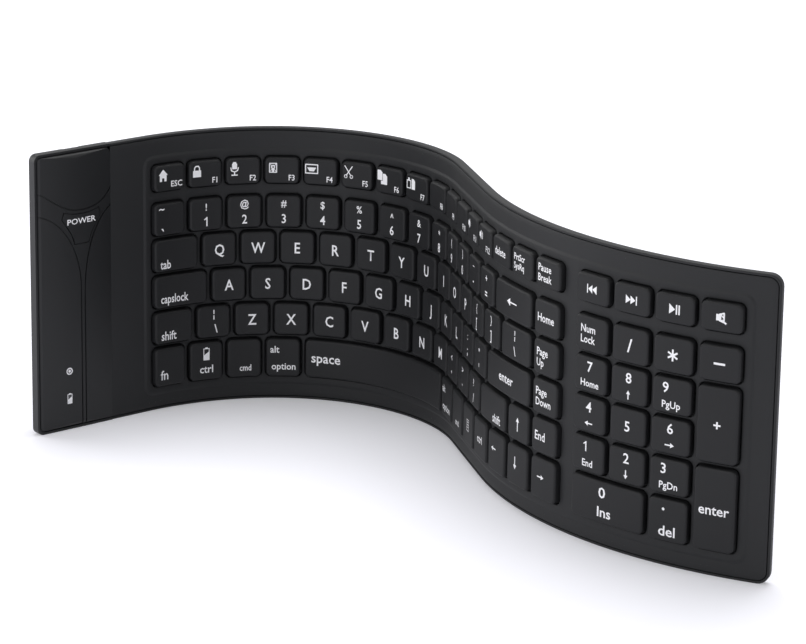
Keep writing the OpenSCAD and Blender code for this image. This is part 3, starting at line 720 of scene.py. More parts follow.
@cache
def pictures() -> dict[Sign, Picture]:
    """Draws the signs.

    Returns:
        The parts of each sign in millimetres, as pairs of a stroke width and a line of points. Width 0
        means a filled shape.
    """
    speaker = (0.0, [(-1.9, -0.8), (-1.0, -0.8), (0.2, -1.9), (0.2, 1.9), (-1.0, 0.8), (-1.9, 0.8)])
    near_wave = (0.35, [(0.8, -0.8), (1.1, 0.0), (0.8, 0.8)])
    far_wave = (0.35, [(1.5, -1.4), (2.0, 0.0), (1.5, 1.4)])
    return {
        Sign.HOME: [
            (0.0, [(-2.0, 0.2), (0.0, 2.3), (2.0, 0.2)]),
            (0.0, slab(-1.5, -2.1, -0.5, 0.4)),
            (0.0, slab(0.5, -2.1, 1.5, 0.4)),
            (0.0, slab(-0.6, -0.9, 0.6, 0.4)),
        ],
        Sign.PADLOCK: [
            (0.0, slab(-1.8, -2.3, 1.8, 0.4)),
            (0.5, [(-1.1, 0.3), (-1.1, 1.4), (-0.6, 2.1), (0.6, 2.1), (1.1, 1.4), (1.1, 0.3)]),
        ],
        Sign.MICROPHONE: [
            (0.0, [(-1.0, -0.2), (1.0, -0.2), (1.1, 1.8), (0.5, 2.7), (-0.5, 2.7), (-1.1, 1.8)]),
            (0.45, [(-1.6, 0.4), (-1.3, -0.8), (0.0, -1.3), (1.3, -0.8), (1.6, 0.4)]),
            (0.5, [(0.0, -1.2), (0.0, -2.4)]),
            (0.5, [(-1.2, -2.6), (1.2, -2.6)]),
        ],
        Sign.FRAMED_LENS: [
            (0.4, loop(-1.5, -1.8, 1.5, 1.8)),
            (0.55, ring(0.0, 0.3, 0.62)),
            (0.8, [(0.0, -0.4), (0.0, -1.7)]),
            (0.28, [(-0.6, 0.8), (-1.1, 1.4)]),
            (0.28, [(0.6, 0.8), (1.1, 1.4)]),
            (0.28, [(-0.35, -0.4), (-1.1, -1.35)]),
            (0.28, [(0.35, -0.4), (1.1, -1.35)]),
        ],
        Sign.SCREEN_KEYS: [
            (0.45, loop(-2.6, -1.75, 2.6, 1.75)),
            (0.0, [(-1.0, -0.95), (1.0, -0.95), (1.95, 0.6), (-1.95, 0.6)]),
        ],
        Sign.SCISSORS: [
            (0.4, [(-1.7, 2.4), (0.9, -1.2)]),
            (0.4, [(1.7, 2.4), (-0.9, -1.2)]),
            (0.35, ring(-1.3, -1.8, 0.6)),
            (0.35, ring(1.3, -1.8, 0.6)),
        ],
        Sign.COPY: [
            (0.0, [(-2.4, -1.2), (0.1, -1.2), (0.1, 2.0), (-0.8, 2.8), (-2.4, 2.8)]),
            (0.0, [(0.3, -2.8), (2.6, -2.8), (2.6, 0.5), (1.7, 1.5), (0.3, 1.5)]),
            (0.0, slab(-0.6, -2.8, 0.3, -1.4)),
        ],
        Sign.PASTE: [
            (0.4, loop(-2.4, -1.7, -0.2, 1.3)),
            (0.0, slab(-1.8, 1.4, -0.8, 2.4)),
            (0.0, [(0.4, -2.0), (2.6, -2.0), (2.6, 1.3), (1.8, 2.2), (0.4, 2.2)]),
        ],
        Sign.QUIETER: [speaker, near_wave],
        Sign.LOUDER: [speaker, near_wave, far_wave],
        Sign.MUTE: [
            (0.0, slab(-2.0, -1.25, 0.0, 1.25)),
            (0.6, [(-0.6, 1.2), (1.1, 1.8), (1.1, -1.7), (-0.6, -1.2)]),
            (0.5, [(0.0, 0.9), (1.1, -0.1)]),
            (0.7, [(0.3, -1.0), (1.9, -2.1)]),
        ],
        Sign.PREVIOUS: [
            (0.5, [(-2.4, -1.6), (-2.4, 1.6)]),
            (0.0, [(-2.0, 0.0), (0.1, -1.7), (0.1, 1.7)]),
            (0.0, [(0.1, 0.0), (2.3, -1.7), (2.3, 1.7)]),
        ],
        Sign.NEXT: [
            (0.0, [(-2.5, -1.7), (-0.2, 0.0), (-2.5, 1.7)]),
            (0.0, [(-0.3, -1.7), (1.9, 0.0), (-0.3, 1.7)]),
            (0.5, [(2.4, -1.6), (2.4, 1.6)]),
        ],
        Sign.PLAY: [
            (0.0, [(-2.2, -2.0), (0.3, 0.0), (-2.2, 2.0)]),
            (0.6, [(0.9, -1.7), (0.9, 1.7)]),
            (0.6, [(2.0, -1.7), (2.0, 1.7)]),
        ],
        Sign.CELL: [
            (0.35, loop(-1.3, -2.7, 1.3, 2.3)),
            (0.0, slab(-0.6, 2.4, 0.6, 2.9)),
            (0.0, [(-1.2, -2.6), (1.2, -2.6), (1.2, 1.0), (-1.2, -0.6)]),
        ],
        Sign.MENU: [
            (0.3, loop(-1.5, -2.3, 1.5, 2.3)),
            *((0.35, [(-0.9, z), (0.9, z)]) for z in (1.3, 0.2, -0.9)),
        ],
        Sign.SPLIT_BAR: [(0.5, [(0.0, side * 0.45), (0.0, side * 2.0)]) for side in (1, -1)],
        Sign.STAR: [
            (0.75, [(side * 2.1 * math.cos(a), side * 2.1 * math.sin(a)) for side in (1, -1)])
            for a in (math.pi / 2, math.pi / 6, -math.pi / 6)
        ],
        Sign.PLUS: [(0.7, [(-1.2, 0.0), (1.2, 0.0)]), (0.7, [(0.0, -1.2), (0.0, 1.2)])],
        Sign.DASH: [(0.85, [(-2.0, 0.0), (2.0, 0.0)])],
        Sign.ONE: [(0.6, [(0.3, -1.85), (0.3, 1.85)]), (0.5, [(0.3, 1.7), (-0.8, 0.9)])],
        Sign.ROUNDEL: [(0.5, ring(0.0, 0.0, 1.3)), (0.0, ring(0.0, 0.0, 0.62)[:-1])],
        Sign.LEFT: arrow(180, 4.0, 1.7),
        Sign.RIGHT: arrow(0, 4.0, 1.7),
        Sign.UP: arrow(90, 5.6, 1.9),
        Sign.DOWN: arrow(-90, 5.2, 1.9),
        Sign.LONG_LEFT: arrow(180, 7.6, 2.6),
        Sign.SMALL_UP: arrow(90, 3.6, 1.6),
        Sign.SMALL_DOWN: arrow(-90, 3.6, 1.6),
    }


@dataclass(frozen=True)
class Mark:
    """One word or sign on a key, placed from the key's middle.

    A word has its height and is stretched along the key; a sign is stretched both ways.
    """

    what: str | Sign
    x: float = 0.0
    z: float = 0.0
    height: float = 3.6
    align: str = "CENTER"
    stretch: float = 1.0


@dataclass(frozen=True)
class Key:
    """A key: its outline on the flat sheet and what stands on it."""

    node: str
    box: Box
    marks: tuple[Mark, ...] = ()


def pair(upper: str, lower: str) -> tuple[Mark, ...]:
    """A symbol above another, as on a number key."""
    low = Mark(Sign.ONE, 0.0, -3.1) if lower == "1" else Mark(lower, 0.0, -3.1, 3.9, stretch=0.9)
    return (Mark(upper, 0.0, 3.3, 3.1, stretch=0.95), low)


def letter(c: str) -> Mark:
    """A letter in the middle of its key."""
    return Mark(c, 0.0, 0.0, 4.7, stretch=0.88)


def lines(*words: str, x: float = -5.6, height: float = 3.1) -> tuple[Mark, ...]:
    """Words set below each other from a left edge."""
    step = height * 1.4
    top = step / 2 * (len(words) - 1)
    return tuple(Mark(w, x, top - step * i, height, "LEFT", 0.88) for i, w in enumerate(words))


def labelled(label: str, sign: Sign | None) -> tuple[Mark, ...]:
    """A top row key's sign and its small label."""
    marks = (Mark(label, 4.4, -2.9, 2.45, stretch=0.92),)
    return marks if sign is None else (Mark(sign, -4.1, 1.3, stretch=1.08), *marks)


@dataclass
class Layout:
    """Where every key lies on the flat sheet. Rows count down from the top one, 0."""

    pitch: float = 18.0
    row_pitch: float = 16.0
    gap: float = 2.4
    row_gap: float = 2.0
    top_h: float = 11.3
    top_gap: float = 5.3
    low_h: float = 16.9
    low_row: int = 5
    low_border: float = 10.8
    keys_s: float = 57.8
    columns: float = 15.75
    top_keys: int = 16
    pad_s: float = 348.3
    pad_pitch: float = 19.0

    def row(self, row: int) -> Point:
        """A row's lowest and highest z."""
        if row == self.low_row:
            return (self.low_border, self.low_border + self.low_h)
        if row == 0:
            low = self.row(1)[1] + self.top_gap
            return (low, low + self.top_h)
        above = self.low_row - 1 - row
        low = self.low_border + self.low_h + self.row_gap + above * self.row_pitch
        return (low, low + self.row_pitch - self.row_gap)

    def main_key(self, node: str, row: int, column: float, wide: float, *marks: Mark) -> Key:
        """A key of the main block, placed by its first column."""
        share = (self.columns - 1) / (self.top_keys - 1) if row == 0 else 1.0
        s = self.keys_s + self.pitch * column * share
        return Key(node, Box(s + self.gap / 2, s + wide * self.pitch - self.gap / 2, *self.row(row)), marks)

    def pad_key(self, node: str, row: int, column: int, wide: int, tall: int, *marks: Mark) -> Key:
        """A key of the number pad, placed by its upper row and first column."""
        s = self.pad_s + self.pad_pitch * column
        low, high = self.row(row + tall - 1)[0], self.row(row)[1]
        return Key(node, Box(s + self.gap / 2, s + wide * self.pad_pitch - self.gap / 2, low, high), marks)

    def _top_row(self) -> list[Key]:
        """Esc, the function keys and the three keys after them."""
        key, mark = self.main_key, Mark
        signs = {
            1: Sign.PADLOCK, 2: Sign.MICROPHONE, 3: Sign.FRAMED_LENS, 4: Sign.SCREEN_KEYS,
            5: Sign.SCISSORS, 6: Sign.COPY, 7: Sign.PASTE, 11: Sign.QUIETER, 12: Sign.LOUDER,
        }
        esc = (mark(Sign.HOME, -3.4, 1.3, stretch=1.18), mark("ESC", 3.5, -2.6, 2.5))
        return [
            key("esc_key", 0, 0, 1, *esc),
            *(key("function_keys", 0, i, 1, *labelled(f"F{i}", signs.get(i))) for i in range(1, 13)),
            key("function_keys", 0, 13, 1, mark("delete", -0.4, 0, 3.2, stretch=0.85)),
            key("function_keys", 0, 14, 1, *lines("PrtScr", "SysRq", x=-5.8, height=2.6)),
            key("function_keys", 0, 15, 1, *lines("Pause", "Break", x=-5.8, height=2.9)),
        ]

    def _number_row(self) -> list[Key]:
        """The digits of the main block, with Backspace and Home."""
        key, mark = self.main_key, Mark
        symbols = enumerate(zip("!@#$%^&*()_+", "1234567890-="), 1)
        return [
            key("number_keys", 1, 0, 1, mark("~", -4.2, 4.6, 3.4), mark("`", -3.8, -4.4, 4.6)),
            *(key("number_keys", 1, i, 1, *pair(upper, lower)) for i, (upper, lower) in symbols),
            key("backspace_key", 1, 13, 1.75, mark(Sign.LONG_LEFT)),
            key("number_keys", 1, 14.75, 1, *lines("Home", x=-5.4, height=3.3)),
        ]

    def _letters(self, node: str, row: int, column: float, letters: str) -> list[Key]:
        """A run of letter keys."""
        return [self.main_key(node, row, column + i, 1, letter(c)) for i, c in enumerate(letters)]

    def _letter_rows(self) -> list[Key]:
        """The three rows of letters with the keys beside them."""
        key, mark = self.main_key, Mark
        split_bar = mark(Sign.SPLIT_BAR, 0, 3.2)
        return [
            key("tab_key", 2, 0, 1.35, mark("tab", -8.2, -3.7, 3.8, "LEFT", 0.8)),
            *self._letters("upper_letter_keys", 2, 1.35, "QWERTYUIOP"),
            key("upper_letter_keys", 2, 11.35, 1, *pair("{", "[")),
            key("upper_letter_keys", 2, 12.35, 1, *pair("}", "]")),
            key("backslash_key", 2, 13.35, 1.4, split_bar, mark("\\", 0, -3, 3.6)),
            key("upper_letter_keys", 2, 14.75, 1, *lines("Page", "Up", x=-5.4)),
            key("caps_lock_key", 3, 0, 1.6, mark("capslock", -10.2, -3.0, 3.7, "LEFT", 0.76)),
            *self._letters("home_letter_keys", 3, 1.6, "ASDFGHJKL"),
            key("home_letter_keys", 3, 10.6, 1, *pair(":", ";")),
            key("home_letter_keys", 3, 11.6, 1, *pair('"', "'")),
            key("enter_key", 3, 12.6, 2.15, mark("enter", 0, 0, 3.8)),
            key("home_letter_keys", 3, 14.75, 1, *lines("Page", "Down", x=-5.4)),
            key("left_shift_key", 4, 0, 1.2, mark("shift", -6.4, -3.4, 3.8, "LEFT", 0.85)),
            key("lower_letter_keys", 4, 1.2, 1, split_bar, mark("\\", 1, -3, 3.6)),
            *self._letters("lower_letter_keys", 4, 2.2, "ZXCVBNM"),
            key("lower_letter_keys", 4, 9.2, 1, *pair("<", ",")),
            key("lower_letter_keys", 4, 10.2, 1, *pair(">", ".")),
            key("lower_letter_keys", 4, 11.2, 1, *pair("?", "/")),
            key("right_shift_key", 4, 12.2, 1.55, mark("shift", 8.6, -3.4, 3.6, "RIGHT", 0.85)),
            key("lower_letter_keys", 4, 13.75, 1, mark(Sign.UP)),
            key("lower_letter_keys", 4, 14.75, 1, *lines("End", x=-5.4, height=3.6)),
        ]

    def _bottom_row(self) -> list[Key]:
        """The row of the space key."""
        mark = Mark
        command = mark("cmd", 0.5, -4.2, 2.7, stretch=0.85)
        option = (mark("alt", -6, 3.8, 3.0, "LEFT"), mark("option", 0.2, -3.8, 3.0))

        def key(node: str, column: float, *marks: Mark, wide: float = 1) -> Key:
            """A key of the lowest row."""
            return self.main_key(node, self.low_row, column, wide, *marks)

        return [
            key("fn_key", 0, mark("fn", -5.2, -3.4, 4.1, "LEFT", 0.95)),
            key("bottom_row_keys", 1, mark(Sign.CELL, 0, 3.4), mark("ctrl", 0, -3.4, 3.4)),
            key("bottom_row_keys", 2, command),
            key("bottom_row_keys", 3, *option),
            key("space_key", 4, mark("space", -38.6, 0.6, 4.2, "LEFT", 1.06), wide=4.75),
            key("bottom_row_keys", 8.75, *option),
            key("bottom_row_keys", 9.75, command),
            key("bottom_row_keys", 10.75, mark(Sign.MENU)),
            key("bottom_row_keys", 11.75, mark("ctrl", 0, 0, 3.2)),
            key("bottom_row_keys", 12.75, mark(Sign.LEFT, -2.2, 1.2)),
            key("bottom_row_keys", 13.75, mark(Sign.DOWN, -1.4, 0.9)),
            key("bottom_row_keys", 14.75, mark(Sign.RIGHT, -1.2, 0.6)),
        ]

    def main_keys(self) -> list[Key]:
        """The keys of the main block."""
        return [*self._top_row(), *self._number_row(), *self._letter_rows(), *self._bottom_row()]

    def pad_keys(self) -> list[Key]:
        """The keys of the number pad."""
        key, mark = self.pad_key, Mark

        def digit(row: int, column: int, c: str, below: str | Sign, x: float = 0.0) -> Key:
            """A digit with what it does when Num Lock is off."""
            what = Sign.ONE if c == "1" else c
            marks = (mark(what, x, 3.2, 4.0), mark(below, 0, -3.4, 2.75, stretch=0.95))
            return key(f"pad_{c}_key", row, column, 1, 1, *marks)

        return [
            key("previous_key", 0, 0, 1, 1, mark(Sign.PREVIOUS)),
            key("next_key", 0, 1, 1, 1, mark(Sign.NEXT)),
            key("play_key", 0, 2, 1, 1, mark(Sign.PLAY)),
            key("mute_key", 0, 3, 1, 1, mark(Sign.MUTE)),
            key("num_lock_key", 1, 0, 1, 1, *lines("Num", "Lock", x=-5.2, height=3.0)),
            key("pad_divide_key", 1, 1, 1, 1, mark("/", 0, 0, 5.2)),
            key("pad_times_key", 1, 2, 1, 1, mark(Sign.STAR)),
            key("pad_minus_key", 1, 3, 1, 1, mark(Sign.DASH)),
            digit(2, 0, "7", "Home"),
            digit(2, 1, "8", Sign.SMALL_UP),
            digit(2, 2, "9", "PgUp", -2.5),
            digit(3, 0, "4", Sign.LEFT),
            key("pad_5_key", 3, 1, 1, 1, mark("5", 0, 0, 4.0)),
            digit(3, 2, "6", Sign.RIGHT),
            digit(4, 0, "1", "End", -1.2),
            digit(4, 1, "2", Sign.SMALL_DOWN),
            digit(4, 2, "3", "PgDn", -2.3),
            key("pad_plus_key", 2, 3, 1, 2, mark(Sign.PLUS)),
            key("pad_enter_key", 4, 3, 1, 2, mark("enter", 0, 0, 3.9)),
            key("pad_0_key", 5, 0, 2, 1, mark("0", -1.6, 4.0, 4.2, stretch=1.2),
                mark("Ins", -0.4, -3.8, 4.0, stretch=1.1)),
            key("pad_point_key", 5, 2, 1, 1, mark(".", -1.7, 4.4, 5.6),
                mark("del", 0.0, -4.2, 4.0, stretch=1.1)),
        ]


@dataclass
class KeyMaker:
    """Makes the soft keys and the ink on them."""

    nodes: WaveNodes
    corner: float = 2.2
    corner_points: int = 6
    fewest_splits: int = 9
    split_share: float = 0.9
    crown: float = 5.0
    profile: Profile = (
        (0.0, 1.9), (0.0, 3.95), (0.06, 4.35), (0.24, 4.68), (0.52, 4.9), (0.85, 4.99), (1.2, 5.0)
    )
    ink: float = 0.03
    boldness: float = 0.014
    sign_step: float = 1.5

    def __post_init__(self) -> None:
        """Measures the font."""
        self.pieces: dict[int, bpy.types.Object] = {}
        self.words: dict[str, tuple[np.ndarray, Faces]] = {}
        self.cap_height = self._word("H")[0][:, 1].max()

    def _corner_piece(self, splits: int) -> bpy.types.Object:
        """A key of no width or height: four corners, and vertices between them to stretch.

        Args:
            splits: How many vertices lie between the corners of a long side.

        Returns:
            An object whose "corner" attribute says which way each vertex is stretched.
        """
        if splits in self.pieces:
            return self.pieces[splits]
        between = np.linspace(-1, 1, splits + 2)[1:-1]
        turn = self.corner_points

        def arc(first: float, x: float, z: float) -> list[tuple[float, float, float]]:
            """A corner: the angle of each vertex, and its way out."""
            return [(first + a, x, z) for a in np.linspace(0, 90, turn)]

        outline = [(-90.0, t, -1.0) for t in between] + arc(-90, 1, -1) + arc(0, 1, 1)
        outline += [(90.0, -t, 1.0) for t in between] + arc(90, -1, 1) + arc(180, -1, -1)
        angles, ways = np.radians([v[0] for v in outline]), [(v[1], 0.0, v[2]) for v in outline]
        size = len(outline)
        loops = []
        for inset, n in self.profile:
            r = self.corner - inset
            loops.append(np.c_[r * np.cos(angles), r * np.sin(angles), np.full(size, n)])
        flat = Flat()
        last = flat.strip(loops, closed=True)[-1]
        low = [*range(size - turn, size), *range(splits + turn)]
        high = [size - turn - 1 - i for i in range(len(low))]
        for i in range(len(low) - 1):
            flat.faces.append(tuple(last + v for v in (low[i], low[i + 1], high[i + 1], high[i])))
        made = flat.object("key_corner_piece")
        attribute = made.data.attributes.new("corner", "FLOAT_VECTOR", "POINT")
        attribute.data.foreach_set("vector", np.array(ways * len(self.profile), np.float32).ravel())
        self.pieces[splits] = made
        return made

    def keys(self, name: str, keys: list[Key]) -> bpy.types.Object:
        """Makes keys that share a node.

        Args:
            name: The new piece's name.
            keys: The keys.

        Returns:
            One mesh with all of them.
        """
        halves = [(k.box.half[0], 0.0, k.box.half[1]) for k in keys]
        mesh = bpy.data.meshes.new(name)
        mesh.from_pydata([(k.box.middle[0] * MM, 0.0, k.box.middle[1] * MM) for k in keys], [], [])
        attribute = mesh.attributes.new("half", "FLOAT_VECTOR", "POINT")
        attribute.data.foreach_set("vector", (np.array(halves, np.float32) * MM).ravel())
        splits = max(self.fewest_splits, int(max(h[0] for h in halves) * self.split_share))
        values = {
            "Wave": self.nodes.line,
            "Material": KEY_SILICONE.material(),
            "Corner Piece": self._corner_piece(splits),
            "Corner Radius": self.corner * MM,
        }
        return self.nodes.bake(linked(name, mesh), self.nodes.key_tree, values)

    def _word(self, text: str) -> tuple[np.ndarray, Faces]:
        """A word's flat mesh at size 1, with its left edge and baseline at the origin."""
        if text not in self.words:
            data = bpy.data.curves.new("word", "FONT")
            data.body = text
            data.offset = self.boldness
            data.resolution_u = 2
            word = linked("word", data)
            mesh = evaluated_mesh(word)
            points = np.array([v.co[:2] for v in mesh.vertices], float).reshape(-1, 2)
            self.words[text] = (points, [tuple(p.vertices) for p in mesh.polygons])
            bpy.data.objects.remove(word)
            bpy.data.meshes.remove(mesh)
            bpy.data.curves.remove(data)
        return self.words[text]

    def _set_word(self, flat: Flat, mark: Mark, s: float, z: float, n: float) -> None:
        """Adds a word's ink to a drawing."""
        points, faces = self._word(mark.what)
        points = points * mark.height / self.cap_height * np.array([mark.stretch, 1.0])
        (left, low), (right, high) = points.min(axis=0), points.max(axis=0)
        shift = {"LEFT": -left, "RIGHT": -right, "CENTER": -(left + right) / 2}[mark.align]
        on_line = len(mark.what) > 1 or mark.what.isalnum()
        middle = mark.height / 2 if on_line else (low + high) / 2
        placed = points + np.array([s + mark.x + shift, z + mark.z - middle])
        first = flat.add(np.c_[placed, np.full(len(placed), n)])
        flat.faces += [tuple(first + i for i in face) for face in faces]

    def _set_sign(self, flat: Flat, mark: Mark, s: float, z: float, n: float) -> None:
        """Adds a sign's ink to a drawing."""
        for width, line in pictures()[mark.what]:
            points = np.array(line, float) * mark.stretch + np.array([s + mark.x, z + mark.z])
            if width == 0.0:
                first = flat.add(np.c_[points, np.full(len(points), n)])
                face = tuple(range(first, first + len(points)))
                x, y = points.T
                area = np.dot(x, np.roll(y, -1)) - np.dot(y, np.roll(x, -1))
                flat.faces.append(face if area >= 0 else face[::-1])
                continue
            for a, b in zip(points, points[1:]):
                length = np.hypot(*(b - a))
                way = (b - a) / max(length, 1e-9) * width * mark.stretch
                side, reach = np.array([way[1], -way[0]]) / 2, way * 0.3
                steps = np.linspace(a - reach, b + reach, 2 + int(length / self.sign_step))
                level = np.full((len(steps), 1), n)
                flat.strip([np.c_[steps + side, level], np.c_[steps - side, level]], closed=False)

    def set_mark(self, flat: Flat, mark: Mark, s: float, z: float, n: float) -> None:
        """Adds the ink of a word or a sign to a drawing.

        Args:
            flat: The drawing.
            mark: The word or sign.
            s: Station that it is placed from.
            z: Height that it is placed from.
            n: Level of the ink.
        """
        setter = self._set_sign if isinstance(mark.what, Sign) else self._set_word
        setter(flat, mark, s, z, n)

    def legends(self, name: str, keys: list[Key]) -> bpy.types.Object:
        """Makes the ink on some keys."""
        flat = Flat()
        for key in keys:
            for mark in key.marks:
                self.set_mark(flat, mark, *key.box.middle, self.crown + self.ink)
        return self.nodes.piece(flat, name, INK)

    def clear(self) -> None:
        """Removes the corner pieces."""
        for piece in self.pieces.values():
            bpy.data.objects.remove(piece)


# The sheet


@dataclass
class Stretch:
    """A stretch of the sheet between two stations: its front skin and its back tray."""

    s0: float
    s1: float
    ends: Open
    height: float = 121.0
    back: float = -1.7
    face: float = 2.2
    foot: float = 0.3
    rim_w: float = 1.0
    lining: float = 1.3
    corner: float = 5.0
    tray_edge: float = 5.0
    skin_edge: float = 2.4
    field_face: float = 2.7
    field_floor: float = 0.42
    field_box: Box = Box(55.7, 426.4, 7.5, 111.6)
    field_corner: float = 4.0
    field_edge: float = 1.0
    field_lap: float = 2.0
    slope: float = 1.1
    hole_play: float = 0.6
    hole_corner: float = 2.8

    @property
    def box(self) -> Box:
        """The stretch's outline on the flat sheet."""
        return Box(self.s0, self.s1, 0.0, self.height)

    def tray(self, flat: Flat) -> None:
        """Draws the back: its floor, its rounded outer edge and the rim in front."""
        profile = (
            (self.tray_edge, self.back), (1.0, self.back), (0.45, self.back + 0.12),
            (0.12, self.back + 0.45), (0.0, self.back + 1.0), (0.0, self.face - 0.5),
            (0.06, self.face - 0.23), (0.23, self.face - 0.06), (0.5, self.face),
            (self.rim_w - 0.12, self.face), (self.rim_w - 0.03, self.face - 0.04),
            (self.rim_w, self.face - 0.15), (self.rim_w, self.foot),
        )
        rim(flat, self.box, self.corner, profile, self.ends)
        flat.plate(self.ends.inside(self.box, self.tray_edge), self.back, back=True)

    def border(self, flat: Flat) -> None:
        """Draws the skin's edge at the parting line, and the border up to the key field."""
        profile = (
            (0.0, self.foot), (0.0, self.face - 0.3), (0.09, self.face - 0.09), (0.3, self.face),
            (self.skin_edge, self.face),
        )
        edge = self.ends.inside(self.box, self.lining)
        rim(flat, edge, self.corner - self.lining, profile, self.ends)
        inner = self.ends.inside(edge, self.skin_edge)
        under = self.field_box.grown(-self.field_lap)
        left = max(inner.s0, min(inner.s1, under.s0))
        right = min(inner.s1, max(inner.s0, under.s1))
        if right <= left:
            flat.plate(inner, self.face)
            return
        for plate in (
            Box(inner.s0, left, inner.z0, inner.z1), Box(right, inner.s1, inner.z0, inner.z1),
            Box(left, right, inner.z0, under.z0), Box(left, right, under.z1, inner.z1),
        ):
            flat.plate(plate, self.face)

    def field(self, flat: Flat, keys: list[Key]) -> None:
        """Draws the raised key field with an aperture round each key.

        Args:
            flat: The drawing to add to.
            keys: The keys that come through this stretch.
        """
        whole = self.field_box
        ends = Open((whole.s0 < self.s0, whole.s1 > self.s1))
        raised = Box(max(self.s0, whole.s0), min(self.s1, whole.s1), whole.z0, whole.z1)
        rise = self.field_face - self.face
        profile = (
            (-self.slope, self.face - 0.02), (-self.slope * 0.7, self.face + rise * 0.12),
            (-self.slope * 0.35, self.face + rise * 0.5), (-0.02, self.face + rise * 0.86),
            (0.3, self.face + rise * 0.98), (0.6, self.field_face), (self.field_edge, self.field_face),
        )
        rim(flat, raised, self.field_corner, profile, ends)
        area = ends.inside(raised, self.field_edge)
        if not keys:
            flat.plate(area, self.field_face)
            return
        flat.plate(Box(area.s0, area.s1, raised.z0, raised.z1), self.field_floor)
        for cell, key in self._cells(keys, area):
            self._aperture(flat, cell, key.box)

    @staticmethod
    def _cells(keys: list[Key], area: Box) -> list[tuple[Box, Key]]:
        """Shares an area out among the keys in it: each gets the part up to halfway to the next."""
        cells = []
        for key in keys:
            box = key.box
            middle = box.middle[0]
            beside = [k.box for k in keys if k.box.z0 < box.z1 - 1 and k.box.z1 > box.z0 + 1]
            lefts = [b.s1 for b in beside if b.s1 < middle and b.s1 <= box.s0]
            rights = [b.s0 for b in beside if b.s0 > middle and b.s0 >= box.s1]
            lows = [k.box.z1 for k in keys if k.box.z1 <= box.z0]
            highs = [k.box.z0 for k in keys if k.box.z0 >= box.z1]
            cell = Box(
                (max(lefts) + box.s0) / 2 if lefts else area.s0,
                (min(rights) + box.s1) / 2 if rights else area.s1,
                (max(lows) + box.z0) / 2 if lows else area.z0,
                (min(highs) + box.z1) / 2 if highs else area.z1,
            )
            cells.append((cell, key))
        return cells

    def _aperture(self, flat: Flat, cell: Box, key: Box) -> None:
        """Draws one cell of the field with the soft-edged hole that its key comes through."""
        hole = key.grown(self.hole_play)
        outer = self._on_cell(cell, hole)
        rings = [np.c_[outer, np.full(len(outer), self.field_face)]]
        for inset, n in (
            (-0.3, self.field_face), (-0.09, self.field_face - 0.07), (0.0, self.field_face - 0.3),
            (0.0, self.field_floor),
        ):
            edge = np.array(rounded_lines(hole, inset, self.hole_corner, Open.NONE)[0])
            rings.append(np.c_[edge, np.full(len(edge), n)])
        flat.strip(rings, closed=True)

    def _on_cell(self, cell: Box, hole: Box) -> np.ndarray:
        """The point of a cell's edge that belongs to each vertex of its hole's outline."""
        placed = np.array(rounded_lines(hole, 0.0, self.hole_corner, Open.NONE)[0])
        core = hole.grown(-self.hole_corner)
        for point in placed:
            s, z = point
            left, right = core.s0 - s, s - core.s1
            low, high = core.z0 - z, z - core.z1
            across, up = max(left, right), max(low, high)
            side, side_start = (cell.s0, core.s0) if left > right else (cell.s1, core.s1)
            edge, edge_start = (cell.z0, core.z0) if low > high else (cell.z1, core.z1)
            if across <= TINY:
                point[1] = edge
            elif up <= TINY:
                point[0] = side
            elif abs(across - up) < TINY:
                point[:] = (side, edge)
            elif up > across:
                point[:] = (side_start + (side - side_start) * (across / up), edge)
            else:
                point[:] = (side, edge_start + (edge - edge_start) * (up / across))
        return placed


